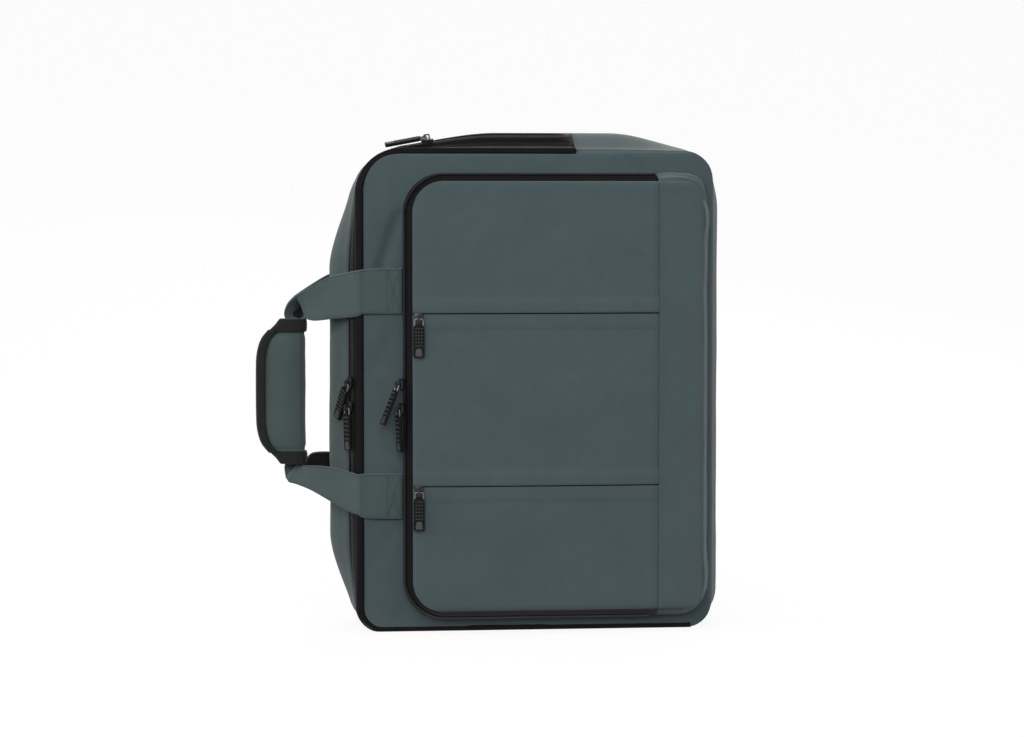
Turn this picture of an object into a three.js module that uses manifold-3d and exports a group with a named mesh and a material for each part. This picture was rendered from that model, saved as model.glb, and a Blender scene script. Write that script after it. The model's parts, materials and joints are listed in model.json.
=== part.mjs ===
// A convertible briefcase-backpack that stands on its short side, in millimetres.
// The origin is the middle of the flat base, +Z is up, the front faces -Y, and the carry handle is at -X.
import * as THREE from 'three';
import * as BufferGeometryUtils from 'three/addons/utils/BufferGeometryUtils.js';
import Module from 'manifold-3d';

const wasm = await Module();
wasm.setup();

// Main body
const bodyWidth = 320;
const bodyHeight = 430;
const bodyDepth = 88;
const bodyCorners = { topLeft: 40, bottomLeft: 22, bottomRight: 24, topRight: 25 };
const panelWall = 2.5;
const gussetWall = 2.2;
const tapeWall = 1.8;
const seam = 0.3;          // clearance between pieces that are sewn or laid together
const panelRoll = 2.5;     // how far a panel stands out of its rolled edge
const panelRollWidth = 5;

// How far the sides swell, and how deep in the side wall the swelling is fullest
const sideBulge = { left: 23, top: 17.5, right: 12 };
const bulgeDepth = 48;

// Zips: widths are measured along the depth of the bag
const mainZipWidth = 15;
const topZipWidth = 36;
const topZipCut = 36.5;        // where the black stretch on the top ends, right of the middle
const baseZipEnd = 142;        // where the main zip ends along the base
const coilWidth = 5;
const coilHeight = 1.6;
const coilSeat = 0.5;          // clearance below a coil, which bends less finely than its tape

// Raised front compartment
const pocketInset = { left: 41, right: 5.5, low: 12.5, high: 20.5 };   // from the body's outline
const pocketDepth = 26;
const pocketLean = { left: 6, right: 8, low: 9, high: 6 };             // how far its wall leans inwards
const pocketCorners = { topLeft: 33, bottomLeft: 33, bottomRight: 24, topRight: 24 };
const pocketBulge = 2.5;
const pocketWallThickness = 2;
const faceWall = 2;
const faceCrown = 4;
const bandWidth = 40;          // the upright band at the right of the face
const faceSeams = { upper: 288.6, lower: 135.3 };                      // heights of the two pocket mouths
const mouthHeight = 4;
const flapLip = 1.2;
const flapLipHeight = 12;

// Carry handle
const handleHeight = 214;      // middle of the handle above the base
const handleReach = 45;        // clear distance from the body's left edge to the grip
const anchorSpacing = 183.5;
const strapWidth = 41;
const strapWall = 2.4;
const strapEnd = 1.5;          // from the front compartment's foot to the strap's sewn end
const gripLength = 131.5;
const gripWidth = 42;
const gripThickness = 24;
const gripWall = 3.8;
const foldedStrap = { near: 6.5, far: 16 };   // the folded strap's two edges in the wrap, from the wrap's fold
const bindingWall = 1.4;
const cuffLength = 12;

// Sliders and pulls
const sliderSize = { width: 9, length: 11, height: 2.6 };
const bridge = { width: 2, window: 3.4, wall: 1.2 };
const pullSize = { width: 10, length: 38, faceLength: 34, thickness: 3 };   // shorter on the face
const eye = { width: 9, bar: 1.6, hole: 6, reach: 4.4 };
const pullLean = 2;            // degrees that a pull leans to the cloth below it
const pullTurn = 30;           // degrees that the upper main pull is turned away from the one below it
const pullLift = 22;           // degrees that the upper compartment pull is held off by the slider below it

// Derived places
const left = -bodyWidth / 2;
const right = bodyWidth / 2;
const frontPlane = -bodyDepth / 2;
const backPlane = bodyDepth / 2;
const wallStart = panelWall + seam;
const wallEnd = bodyDepth - panelWall - seam;
const strapFace = frontPlane - panelRoll - seam - strapWall;
const pocketFoot = frontPlane - panelRoll - seam;
const pocketRim = pocketFoot - pocketDepth;
const pocketBox = {
  left: left + pocketInset.left, right: right - pocketInset.right,
  low: pocketInset.low, high: bodyHeight - pocketInset.high,
};
const faceBox = {
  left: pocketBox.left + pocketLean.left, right: pocketBox.right - pocketLean.right,
  low: pocketBox.low + pocketLean.low, high: pocketBox.high - pocketLean.high,
};
const bandSeam = faceBox.right - bandWidth;

const colours = {
  cloth: '#495659', clothSide: '#43504f', strap: '#556264', tape: '#212223', coil: '#2c2d2e',
  binding: '#1c1c1d', slider: '#2a2b2c', pull: '#1b1b1c',
};

const bag = new THREE.Group();

function addPiece(name, geometry, colour, roughness = 0.9, metalness = 0) {
  const material = new THREE.MeshStandardMaterial({ color: colour, roughness, metalness });
  const mesh = new THREE.Mesh(geometry, material);
  mesh.name = name;
  bag.add(mesh);
  return mesh;
}

// Small maths
const mix = (a, b, share) => a + (b - a) * share;
const clamp01 = (value) => Math.min(1, Math.max(0, value));
function smooth(from, to, value) {
  const share = clamp01((value - from) / (to - from));
  return share * share * (3 - 2 * share);
}
const spread = (from, to, steps) => Array.from({ length: steps + 1 }, (_, i) => mix(from, to, i / steps));

// A closed solid through sections that hold equally many points. A section is two lists, outer and
// inner, joined at their ends. A ring of sections closes on itself, and an open run gets two end faces.
function loft(sections, ring = false) {
  const across = sections[0].outer.length;
  const around = across * 2;
  const positions = [];
  for (const section of sections) {
    for (const p of [...section.outer, ...[...section.inner].reverse()]) positions.push(p.x, p.y, p.z);
  }
  const faces = [];
  const quad = (a, b, c, d) => faces.push(a, b, c, a, c, d);
  const spans = ring ? sections.length : sections.length - 1;
  for (let i = 0; i < spans; i++) {
    const here = i * around;
    const next = ((i + 1) % sections.length) * around;
    for (let k = 0; k < around; k++) {
      const k2 = (k + 1) % around;
      quad(here + k, here + k2, next + k2, next + k);
    }
  }
  if (!ring) {
    const last = (sections.length - 1) * around;
    for (let k = 0; k < across - 1; k++) {
      quad(k, around - 1 - k, around - 2 - k, k + 1);
      quad(last + k, last + k + 1, last + around - 2 - k, last + around - 1 - k);
    }
  }
  return outwards(positions, faces);
}

// Turns the faces round if they enclose a negative volume
function outwards(positions, faces) {
  const at = (index) => new THREE.Vector3().fromArray(positions, index * 3);
  let volume = 0;
  for (let i = 0; i < faces.length; i += 3) {
    volume += at(faces[i]).dot(at(faces[i + 1]).cross(at(faces[i + 2])));
  }
  if (volume < 0) faces.reverse();
  const geometry = new THREE.BufferGeometry();
  geometry.setAttribute('position', new THREE.Float32BufferAttribute(positions, 3));
  geometry.setIndex(faces);
  geometry.computeVertexNormals();
  return geometry;
}

// The rounded outline of a box seen from the front. It starts at the middle of the top and runs left,
// down, along the base and up the right side. at(run) gives a place and its outward direction.
const cornerSteps = 5;
const sideSteps = { top: 4, left: 11, base: 3, right: 8 };
function roundedOutline(box, corners) {
  const middle = (box.left + box.right) / 2;
  const parts = [];
  const line = (x0, z0, x1, z1, nx, nz, steps) => parts.push({
    length: Math.hypot(x1 - x0, z1 - z0), steps,
    at: (share) => ({ x: mix(x0, x1, share), z: mix(z0, z1, share), nx, nz }),
  });
  const arc = (x, z, radius, from) => parts.push({
    length: radius * Math.PI / 2, steps: cornerSteps,
    at: (share) => {
      const angle = from + share * Math.PI / 2;
      const [nx, nz] = [Math.cos(angle), Math.sin(angle)];
      return { x: x + radius * nx, z: z + radius * nz, nx, nz };
    },
  });
  const { topLeft, bottomLeft, bottomRight, topRight } = corners;
  line(middle, box.high, box.left + topLeft, box.high, 0, 1, sideSteps.top);
  arc(box.left + topLeft, box.high - topLeft, topLeft, Math.PI / 2);
  line(box.left, box.high - topLeft, box.left, box.low + bottomLeft, -1, 0, sideSteps.left);
  arc(box.left + bottomLeft, box.low + bottomLeft, bottomLeft, Math.PI);
  line(box.left + bottomLeft, box.low, box.right - bottomRight, box.low, 0, -1, sideSteps.base);
  arc(box.right - bottomRight, box.low + bottomRight, bottomRight, Math.PI * 1.5);
  line(box.right, box.low + bottomRight, box.right, box.high - topRight, 1, 0, sideSteps.right);
  arc(box.right - topRight, box.high - topRight, topRight, 0);
  line(box.right - topRight, box.high, middle, box.high, 0, 1, sideSteps.top);
  const total = parts.reduce((sum, part) => sum + part.length, 0);
  const marks = [];
  let start = 0;
  for (const part of parts) {
    part.start = start;
    for (let i = 0; i < part.steps; i++) marks.push(start + part.length * i / part.steps);
    start += part.length;
  }
  const at = (run) => {
    const wrapped = ((run % total) + total) % total;
    const part = [...parts].reverse().find((p) => wrapped >= p.start - 1e-9);
    return { ...part.at((wrapped - part.start) / part.length), run };
  };
  const stations = (from, to) => {
    const runs = [-total, 0, total].flatMap((turn) => marks.map((mark) => mark + turn));
    return [from, ...runs.filter((run) => run > from + 1 && run < to - 1), to].map(at);
  };
  // Runs to the place at a given height on the left side, and at a given x on the base
  const runAtHeight = (z) => parts[0].length + parts[1].length + (box.high - topLeft - z);
  const runAtBase = (x) => parts[4].start + (x - box.left - bottomLeft);
  const runAtTop = (x) => middle - x;
  return { total, at, stations, runAtHeight, runAtBase, runAtTop };
}

// Side walls of the main body

const bodyOutline = roundedOutline({ left, right, low: 0, high: bodyHeight }, bodyCorners);

// Where along each side the swelling begins, is full, fades and ends, as shares of that side
const swelling = {
  left: { begins: -0.01, full: 0.2, fades: 0.75, ends: 0.975 },
  top: { begins: 0, full: 0.4, fades: 0.725, ends: 1.02 },
  right: { begins: 0.02, full: 0.15, fades: 0.85, ends: 0.98 },
};
function swellingAt(side, share) {
  const { begins, full, fades, ends } = swelling[side];
  return sideBulge[side] * smooth(begins, full, share) * (1 - smooth(fades, ends, share));
}
function outlineBulge(place) {
  const up = place.z / bodyHeight;
  const along = (place.x - left) / bodyWidth;
  const sideways = swellingAt(place.nx < 0 ? 'left' : 'right', up) * Math.abs(place.nx);
  const upwards = swellingAt('top', along) * Math.max(0, place.nz);
  return sideways + upwards;
}
// The swelling across the depth of the bag, from 0 at the front edge over 1 to 0 at the back edge
function depthShare(depth) {
  const share = depth < bulgeDepth ? depth / bulgeDepth : (bodyDepth - depth) / (bodyDepth - bulgeDepth);
  return 0.65 * smooth(0, 1, share) + 0.35 * Math.sin(clamp01(share) * Math.PI / 2);
}
function bodyPoint(place, depth, lift = 0) {
  const out = outlineBulge(place) * depthShare(depth) + lift;
  return new THREE.Vector3(place.x + place.nx * out, frontPlane + depth, place.z + place.nz * out);
}
function bodySection(place, depths, wall, lift = 0) {
  return {
    outer: depths.map((depth) => bodyPoint(place, depth, lift)),
    inner: depths.map((depth) => bodyPoint(place, depth, lift - wall)),
  };
}

const topCutRun = bodyOutline.runAtTop(topZipCut);
const baseEndRun = bodyOutline.runAtBase(baseZipEnd);
const topStripEndRun = bodyOutline.runAtTop(left + bodyCorners.topLeft * 0.7);
const wallSteps = 7;

// The green gusset starts at the front edge on the right, behind the main zip on the left and the
// base, and behind the top zip along the black stretch of the top.
function makeGusset() {
  const behindZip = mainZipWidth + seam;
  const behindTopZip = mainZipWidth + topZipWidth + seam;
  const stretches = [
    { from: topCutRun + seam, to: topStripEndRun - seam, start: behindTopZip },
    { from: topStripEndRun + seam, to: baseEndRun - seam, start: behindZip },
    { from: baseEndRun + seam, to: topCutRun - seam + bodyOutline.total, start: wallStart },
  ];
  const sections = stretches.flatMap(({ from, to, start }) => bodyOutline.stations(from, to)
    .map((place) => bodySection(place, spread(start, wallEnd, wallSteps), gussetWall)));
  return loft(sections, true);
}
addPiece('gusset', makeGusset(), colours.clothSide);

function makeBodyStrip(fromRun, toRun, depths, wall, lift) {
  const places = bodyOutline.stations(fromRun, toRun);
  return loft(places.map((place) => bodySection(place, depths, wall, lift)));
}
const mainTapeDepths = spread(wallStart, mainZipWidth, 4);
addPiece('main_zip_tape', makeBodyStrip(topCutRun + 2 * seam, baseEndRun - 2 * seam,
  mainTapeDepths, tapeWall, 0), colours.tape);

const coilLift = coilSeat + coilHeight;
function coilDepths(middleDepth) {
  return spread(middleDepth - coilWidth / 2, middleDepth + coilWidth / 2, 2);
}
const mainCoilDepth = wallStart + (mainZipWidth - wallStart) * 0.45;
const coilEnd = 3;
// The coil shows as far as the lower left corner. Under the base it lies flat in its tape.
const coilBaseEnd = bodyOutline.runAtHeight(bodyCorners.bottomLeft) + bodyCorners.bottomLeft * 0.9;
addPiece('main_zip_coil', makeBodyStrip(topCutRun + coilEnd, coilBaseEnd,
  coilDepths(mainCoilDepth), coilHeight, coilLift), colours.coil, 0.5);

const topTapeDepths = spread(mainZipWidth + seam, mainZipWidth + topZipWidth, 5);
addPiece('top_zip_tape', makeBodyStrip(topCutRun + 2 * seam, topStripEndRun - 2 * seam,
  topTapeDepths, tapeWall, 0), colours.tape);
const topCoilDepth = mainZipWidth + topZipWidth * 0.42;
addPiece('top_zip_coil', makeBodyStrip(topCutRun + coilEnd, topStripEndRun - coilEnd,
  coilDepths(topCoilDepth), coilHeight, coilLift), colours.coil, 0.5);

// Flat panels: rows from the top down, each from its left end to its right end

// Distances from an edge at which a panel is sampled: finely enough for a corner, a crease or a roll
const cornerRows = [0, 2, 5, 12, 24, 40];
const creaseColumns = [0, 2, 5, 18, 40];
const plainSteps = [0, 2, 5];
function cornerInset(fromEdge, radius) {
  const within = radius - Math.max(0, fromEdge);
  return within > 0 ? radius - Math.sqrt(radius * radius - within * within) : 0;
}
function rowEnds(z, box, corners) {
  const [fromTop, fromBase] = [box.high - z, z - box.low];
  return {
    start: box.left + Math.max(cornerInset(fromTop, corners.topLeft), cornerInset(fromBase, corners.bottomLeft)),
    end: box.right - Math.max(cornerInset(fromTop, corners.topRight), cornerInset(fromBase, corners.bottomRight)),
  };
}
// Steps that crowd towards both ends of a length, as shares of it
function crowdedShares(length, steps, inside) {
  const near = steps.filter((step) => step < length * 0.4);
  const far = near.map((step) => length - step).reverse();
  const gap = far[0] - near[near.length - 1];
  const between = Array.from({ length: inside }, (_, i) => near[near.length - 1] + gap * (i + 1) / (inside + 1));
  return [...near, ...between, ...far].map((step) => step / length);
}
const insideRows = 2;
const insideColumns = 3;
function makePanel(box, corners, surface, wall, rows = cornerRows, columns = plainSteps) {
  const rowShares = crowdedShares(box.high - box.low, rows, insideRows);
  const columnShares = crowdedShares(box.right - box.left, columns, insideColumns);
  const sections = rowShares.map((rowShare) => {
    const z = mix(box.high, box.low, rowShare);
    const { start, end } = rowEnds(z, box, corners);
    const places = columnShares.map((share) => new THREE.Vector3(mix(start, end, share), 0, z));
    return {
      outer: places.map((p) => p.clone().setY(surface(p.x, p.z))),
      inner: places.map((p) => p.clone().setY(surface(p.x, p.z) + wall)),
    };
  });
  return loft(sections);
}
function edgeDistance(x, z, box) {
  return Math.min(x - box.left, box.right - x, z - box.low, box.high - z);
}
function roll(distance, height, width) {
  const share = clamp01(distance / width);
  return height * Math.sqrt(1 - (1 - share) ** 2);
}
const bodyBox = { left, right, low: 0, high: bodyHeight };

// Soft creases of the front panel beside the compartment, as shares of the body's width and height
const creases = [
  { x: 0.07, z: 0.90, reach: 0.06, depth: 1.6 },
  { x: 0.05, z: 0.83, reach: 0.05, depth: 1.8 },
  { x: 0.06, z: 0.50, reach: 0.05, depth: 1.2 },
  { x: 0.07, z: 0.17, reach: 0.06, depth: 1.4 },
];
function creaseDepth(x, z) {
  return creases.reduce((sum, crease) => {
    const away = Math.hypot(x - left - crease.x * bodyWidth, z - crease.z * bodyHeight);
    return sum + crease.depth * (1 - smooth(0, crease.reach * bodyHeight, away));
  }, 0);
}
function frontSurface(x, z) {
  return frontPlane - roll(edgeDistance(x, z, bodyBox), panelRoll, panelRollWidth) + creaseDepth(x, z);
}
function backSurface(x, z) {
  return backPlane + roll(edgeDistance(x, z, bodyBox), panelRoll, panelRollWidth);
}
addPiece('front_panel', makePanel(bodyBox, bodyCorners, frontSurface, panelWall, cornerRows, creaseColumns),
  colours.cloth);
addPiece('back_panel', makePanel(bodyBox, bodyCorners, backSurface, -panelWall), colours.cloth);

// Front compartment: a leaning side wall and a face of four cloth parts

const pocketOutline = roundedOutline(pocketBox, pocketCorners);
// Folds that run round the green part of the wall, as shares of that part's length
const wallFolds = [
  { at: 0.08, reach: 0.05, height: 2.2 },
  { at: 0.16, reach: 0.04, height: -1.6 },
  { at: 0.24, reach: 0.05, height: 1.8 },
  { at: 0.85, reach: 0.05, height: 1.4 },
];
function pocketPoint(place, share, lift = 0, fold = 0) {
  const leanX = place.nx < 0 ? pocketLean.left : pocketLean.right;
  const leanZ = place.nz < 0 ? pocketLean.low : pocketLean.high;
  const lean = Math.abs(place.nx) * leanX + Math.abs(place.nz) * leanZ;
  const out = (pocketBulge + fold) * Math.sin(share * Math.PI) - lean * share + lift;
  const y = mix(pocketFoot, pocketRim, share);
  return new THREE.Vector3(place.x + place.nx * out, y, place.z + place.nz * out);
}
function makePocketStrip(fromRun, toRun, shares, wall, lift, folds = []) {
  const sections = pocketOutline.stations(fromRun, toRun).map((place) => {
    const along = (place.run - fromRun) / (toRun - fromRun);
    const fold = folds.reduce((sum, f) => sum + f.height * (1 - smooth(0, f.reach, Math.abs(along - f.at))), 0);
    return {
      outer: shares.map((share) => pocketPoint(place, share, lift, fold)),
      inner: shares.map((share) => pocketPoint(place, share, lift - wall, fold)),
    };
  });
  return loft(sections);
}
const pocketShares = spread(0, 1, 4);
const bandTopRun = pocketOutline.runAtTop(bandSeam);
const bandBaseRun = pocketOutline.runAtBase(bandSeam);
addPiece('pocket_zip_tape', makePocketStrip(bandTopRun + seam, bandBaseRun - seam,
  pocketShares, pocketWallThickness, 0), colours.tape);
addPiece('pocket_wall', makePocketStrip(bandBaseRun + seam, bandTopRun - seam + pocketOutline.total,
  pocketShares, pocketWallThickness, 0, wallFolds), colours.clothSide);
const coilShare = coilWidth / 2 / pocketDepth;
const pocketCoilShares = spread(0.5 - coilShare, 0.5 + coilShare, 2);
addPiece('pocket_zip_coil', makePocketStrip(bandTopRun + coilEnd, bandBaseRun - coilEnd,
  pocketCoilShares, coilHeight, coilLift), colours.coil, 0.5);

function faceSurface(x, z) {
  const across = 1 - (2 * (x - faceBox.left) / (faceBox.right - faceBox.left) - 1) ** 2;
  const up = 1 - (2 * (z - faceBox.low) / (faceBox.high - faceBox.low) - 1) ** 2;
  const rolled = roll(edgeDistance(x, z, faceBox), faceWall, panelRollWidth);
  return pocketRim - seam - faceWall - faceCrown * across * up - rolled;
}
// The lip of the flap that covers a pocket's mouth
function flapSurface(mouth) {
  return (x, z) => faceSurface(x, z) - flapLip * (1 - smooth(mouth, mouth + flapLipHeight, z));
}
const faceCorner = pocketCorners.topLeft - pocketLean.left;
const bandCorner = pocketCorners.topRight - pocketLean.right;
const square = { topLeft: 0, bottomLeft: 0, bottomRight: 0, topRight: 0 };
const bandLeft = bandSeam + seam;
const facePieces = [
  { name: 'face_top', low: faceSeams.upper, high: faceBox.high, corners: { ...square, topLeft: faceCorner },
    surface: flapSurface(faceSeams.upper) },
  { name: 'face_middle', low: faceSeams.lower, high: faceSeams.upper - mouthHeight - 2 * seam, corners: square,
    surface: flapSurface(faceSeams.lower) },
  { name: 'face_bottom', low: faceBox.low, high: faceSeams.lower - mouthHeight - 2 * seam,
    corners: { ...square, bottomLeft: faceCorner }, surface: faceSurface },
];
for (const { name, low, high, corners, surface } of facePieces) {
  const box = { left: faceBox.left, right: bandSeam, low, high };
  addPiece(name, makePanel(box, corners, surface, faceWall), colours.cloth);
}
addPiece('face_side', makePanel({ ...faceBox, left: bandLeft },
  { ...square, topRight: bandCorner, bottomRight: bandCorner }, faceSurface, faceWall), colours.cloth);
for (const [name, mouth] of [['pocket_zip_upper', faceSeams.upper], ['pocket_zip_lower', faceSeams.lower]]) {
  const box = { left: faceBox.left, right: bandSeam, low: mouth - mouthHeight - seam, high: mouth - seam };
  addPiece(name, makePanel(box, square, faceSurface, faceWall, [0]), colours.tape);
}

// Carry handle: one strap on each face, folded through a padded wrap

const gripRight = left - handleReach;
const gripTop = handleHeight + gripLength / 2;
const gripBase = handleHeight - gripLength / 2;
const strapOuter = gripRight - foldedStrap.far;
const strapInner = gripRight - foldedStrap.near;
const anchorTop = handleHeight + (anchorSpacing + strapWidth) / 2;
const anchorBase = handleHeight - (anchorSpacing + strapWidth) / 2;
const strapStart = pocketBox.left - strapEnd;

// Each row is a place along the strap between its sewn end and the wrap. Across is the share of the way
// from the body's edge to the strap's place in the wrap, rise is the share of the height from the wrap's
// end to the strap's far edge, back is the share of the way to the middle of the depth.
const strapUpper = [
  { across: 0.0, rise: 0.96, innerAcross: 0.0, innerRise: 0.08, back: 0.0 },
  { across: 0.11, rise: 0.93, innerAcross: 0.12, innerRise: 0.05, back: 0.13 },
  { across: 0.25, rise: 0.88, innerAcross: 0.29, innerRise: 0.03, back: 0.3 },
  { across: 0.4, rise: 0.83, innerAcross: 0.5, innerRise: 0.0, back: 0.46 },
  { across: 0.62, rise: 0.67, innerAcross: 0.72, innerRise: -0.03, back: 0.64 },
  { across: 0.77, rise: 0.54, innerAcross: 0.84, innerRise: -0.02, back: 0.78 },
  { across: 0.9, rise: 0.42, innerAcross: 0.93, innerRise: 0.05, back: 0.89 },
  { across: 1.0, rise: 0.27, innerAcross: 0.98, innerRise: 0.08, back: 0.97 },
  { across: 1.02, rise: 0.1, innerAcross: 1.0, innerRise: 0.03, back: 1.0 },
];
const strapLower = [
  { across: 0.0, rise: 0.92, innerAcross: 0.0, innerRise: 0.13, back: 0.0 },
  { across: 0.11, rise: 0.88, innerAcross: 0.12, innerRise: 0.1, back: 0.13 },
  { across: 0.25, rise: 0.8, innerAcross: 0.3, innerRise: 0.05, back: 0.3 },
  { across: 0.44, rise: 0.66, innerAcross: 0.55, innerRise: 0.01, back: 0.48 },
  { across: 0.68, rise: 0.49, innerAcross: 0.78, innerRise: 0.01, back: 0.68 },
  { across: 0.88, rise: 0.36, innerAcross: 0.92, innerRise: 0.03, back: 0.86 },
  { across: 0.98, rise: 0.27, innerAcross: 0.97, innerRise: 0.03, back: 0.95 },
  { across: 1.02, rise: 0.1, innerAcross: 1.0, innerRise: 0.03, back: 1.0 },
];
const strapMiddleGap = 0.25;
const strapGripY = -strapWall - strapMiddleGap;
function strapRow(row, gripEnd, farEdge) {
  const y = mix(strapFace, strapGripY, row.back);
  return {
    outer: new THREE.Vector3(mix(left, strapOuter, row.across), y, mix(gripEnd, farEdge, row.rise)),
    inner: new THREE.Vector3(mix(left, strapInner, row.innerAcross), y, mix(gripEnd, farEdge, row.innerRise)),
    belly: 1.6 * row.back,
  };
}
function sewnRow(x, outerZ, innerZ) {
  return { outer: new THREE.Vector3(x, strapFace, outerZ), inner: new THREE.Vector3(x, strapFace, innerZ), belly: 0 };
}
function gripRow(z) {
  return {
    outer: new THREE.Vector3(strapOuter, strapGripY, z),
    inner: new THREE.Vector3(strapInner, strapGripY, z), belly: 1.6,
  };
}
const sewnEdge = left + panelRollWidth + 1;
const strapRows = [
  sewnRow(strapStart, anchorTop, anchorTop - strapWidth),
  sewnRow(sewnEdge, anchorTop - 1, anchorTop - strapWidth),
  ...strapUpper.map((row) => strapRow(row, gripTop, anchorTop)),
  ...spread(gripTop - 4, gripBase + 4, 4).map(gripRow),
  ...[...strapLower].reverse().map((row) => strapRow(row, gripBase, anchorBase)),
  sewnRow(sewnEdge, anchorBase + 1, anchorBase + strapWidth),
  sewnRow(strapStart, anchorBase, anchorBase + strapWidth),
];
// side is -1 for the strap on the front and 1 for the one on the back
function makeStrap(side) {
  const turn = (p) => new THREE.Vector3(p.x, -side * p.y, p.z);
  const lines = strapRows.map(({ outer, inner, belly }) => {
    const middle = outer.clone().add(inner).multiplyScalar(0.5);
    middle.y -= belly;
    return [outer, middle, inner];
  });
  const sections = lines.map((line, i) => {
    const before = lines[Math.max(0, i - 1)][1];
    const after = lines[Math.min(lines.length - 1, i + 1)][1];
    const along = after.clone().sub(before);
    const across = line[2].clone().sub(line[0]);
    const inwards = along.cross(across).normalize();
    if (inwards.y < 0) inwards.negate();
    return {
      outer: line.map(turn),
      inner: line.map((p) => turn(p.clone().addScaledVector(inwards, strapWall))),
    };
  });
  return loft(sections);
}
addPiece('strap_front', makeStrap(-1), colours.strap);
addPiece('strap_back', makeStrap(1), colours.strap);

// The wrap is folded round the straps: its fold faces the body and its two bound edges face away.
// Reach is the share of the wrap's width from the fold, fat the share of its half thickness.
const wrapLeg = [
  { reach: 1.0, fat: 0.0 },
  { reach: 0.8, fat: 0.42 },
  { reach: 0.6, fat: 0.78 },
  { reach: 0.4, fat: 1.0 },
  { reach: 0.22, fat: 0.93 },
  { reach: 0.08, fat: 0.62 },
];
const boundEdge = gripWall + 0.7;       // half thickness at the bound edges
// The wrap's width and thickness along its length, as shares of the full ones
const wrapAlong = [
  { along: 0.0, width: 0.52, thickness: 0.82 },
  { along: 0.05, width: 0.62, thickness: 0.86 },
  { along: 0.092, width: 0.82, thickness: 0.9 },
  { along: 0.15, width: 0.93, thickness: 0.95 },
  { along: 0.25, width: 1.0, thickness: 1.0 },
  { along: 0.5, width: 1.0, thickness: 1.0 },
  { along: 0.75, width: 1.0, thickness: 1.0 },
  { along: 0.85, width: 0.93, thickness: 0.95 },
  { along: 0.908, width: 0.82, thickness: 0.9 },
  { along: 0.95, width: 0.62, thickness: 0.86 },
  { along: 1.0, width: 0.52, thickness: 0.82 },
];
function wrapSize(along) {
  const next = wrapAlong.findIndex((row) => row.along >= along - 1e-6);
  const after = wrapAlong[Math.max(1, next)];
  const before = wrapAlong[Math.max(1, next) - 1];
  const share = (along - before.along) / (after.along - before.along);
  return {
    width: gripWidth * mix(before.width, after.width, share),
    half: gripThickness / 2 * mix(before.thickness, after.thickness, share),
    z: mix(gripTop, gripBase, along),
  };
}
// The wrap's outline at one height, from the front bound edge round the fold to the back bound edge
function wrapOutline(along) {
  const { width, half, z } = wrapSize(along);
  const leg = (sign) => wrapLeg.map(({ reach, fat }) => new THREE.Vector3(
    gripRight - width * reach, sign * mix(boundEdge, half, fat), z));
  return [...leg(-1), new THREE.Vector3(gripRight, 0, z), ...leg(1).reverse()];
}
// Moves each point of a level outline outwards, or inwards for a negative distance
function offsetOutline(points, distance, closed = false) {
  const last = points.length - 1;
  return points.map((p, i) => {
    const before = points[i > 0 ? i - 1 : (closed ? last : 0)];
    const after = points[i < last ? i + 1 : (closed ? 0 : last)];
    const along = after.clone().sub(before).setZ(0).normalize();
    return new THREE.Vector3(p.x + along.y * distance, p.y - along.x * distance, p.z);
  });
}
addPiece('grip_wrap', loft(wrapAlong.map(({ along }) => {
  const outline = wrapOutline(along);
  return { outer: outline, inner: offsetOutline(outline, -gripWall) };
})), colours.cloth);

// A channel of black binding over the two edges, between the cuffs
const cuffShare = cuffLength / gripLength;
const bindingStops = [cuffShare + 0.004, 0.15, 0.25, 0.5, 0.75, 0.85, 1 - cuffShare - 0.004];
addPiece('grip_binding', loft(bindingStops.map((along) => {
  const outline = wrapOutline(along);
  const [edge, inside] = outline;
  const channel = (gap) => [-1, 1].flatMap((sign) => {
    const side = [
      new THREE.Vector3(inside.x, sign * (Math.abs(inside.y) + gap), edge.z),
      new THREE.Vector3(edge.x - gap, sign * (Math.abs(edge.y) + gap), edge.z),
    ];
    return sign < 0 ? side : side.reverse();
  });
  return { outer: channel(seam + bindingWall), inner: channel(seam) };
})), colours.binding);

// A cuff round each end of the wrap
function makeCuff(fromAlong, toAlong) {
  const stops = spread(fromAlong, toAlong, 2);
  const rings = stops.map((along) => {
    const outline = wrapOutline(along);
    return {
      outer: offsetOutline(outline, seam * 1.6 + bindingWall, true),
      inner: offsetOutline(outline, seam * 1.6, true),
    };
  });
  const sections = rings[0].outer.map((_, k) => ({
    outer: rings.map((r) => r.outer[k]), inner: rings.map((r) => r.inner[k]),
  }));
  return loft(sections, true);
}
addPiece('grip_cuff_upper', makeCuff(0.0, cuffShare), colours.binding);
addPiece('grip_cuff_lower', makeCuff(1 - cuffShare, 1.0), colours.binding);

// Sliders and pulls. In their own frame x is across, y runs along the hanging pull, z is off the cloth.

function toManifold(geometry) {
  const bare = geometry.index ? geometry.toNonIndexed() : geometry.clone();
  bare.deleteAttribute('normal');
  bare.deleteAttribute('uv');
  const merged = BufferGeometryUtils.mergeVertices(bare, 1e-4);
  return new wasm.Manifold(new wasm.Mesh({
    numProp: 3,
    vertProperties: new Float32Array(merged.attributes.position.array),
    triVerts: new Uint32Array(merged.index.array),
  }));
}
function fromManifold(solid) {
  const mesh = solid.getMesh();
  const geometry = new THREE.BufferGeometry();
  geometry.setAttribute('position', new THREE.BufferAttribute(mesh.vertProperties, 3));
  geometry.setIndex(new THREE.BufferAttribute(mesh.triVerts, 1));
  geometry.computeVertexNormals();
  return geometry;
}
function plateFromPoints(points, thickness, low, hole) {
  const shape = new THREE.Shape(points.map(([x, y]) => new THREE.Vector2(x, y)));
  if (hole) shape.holes.push(new THREE.Path(hole.map(([x, y]) => new THREE.Vector2(x, y))));
  return new THREE.ExtrudeGeometry(shape, { depth: thickness, bevelEnabled: false }).translate(0, 0, low);
}
const hingeHeight = sliderSize.height + bridge.window / 2;

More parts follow.
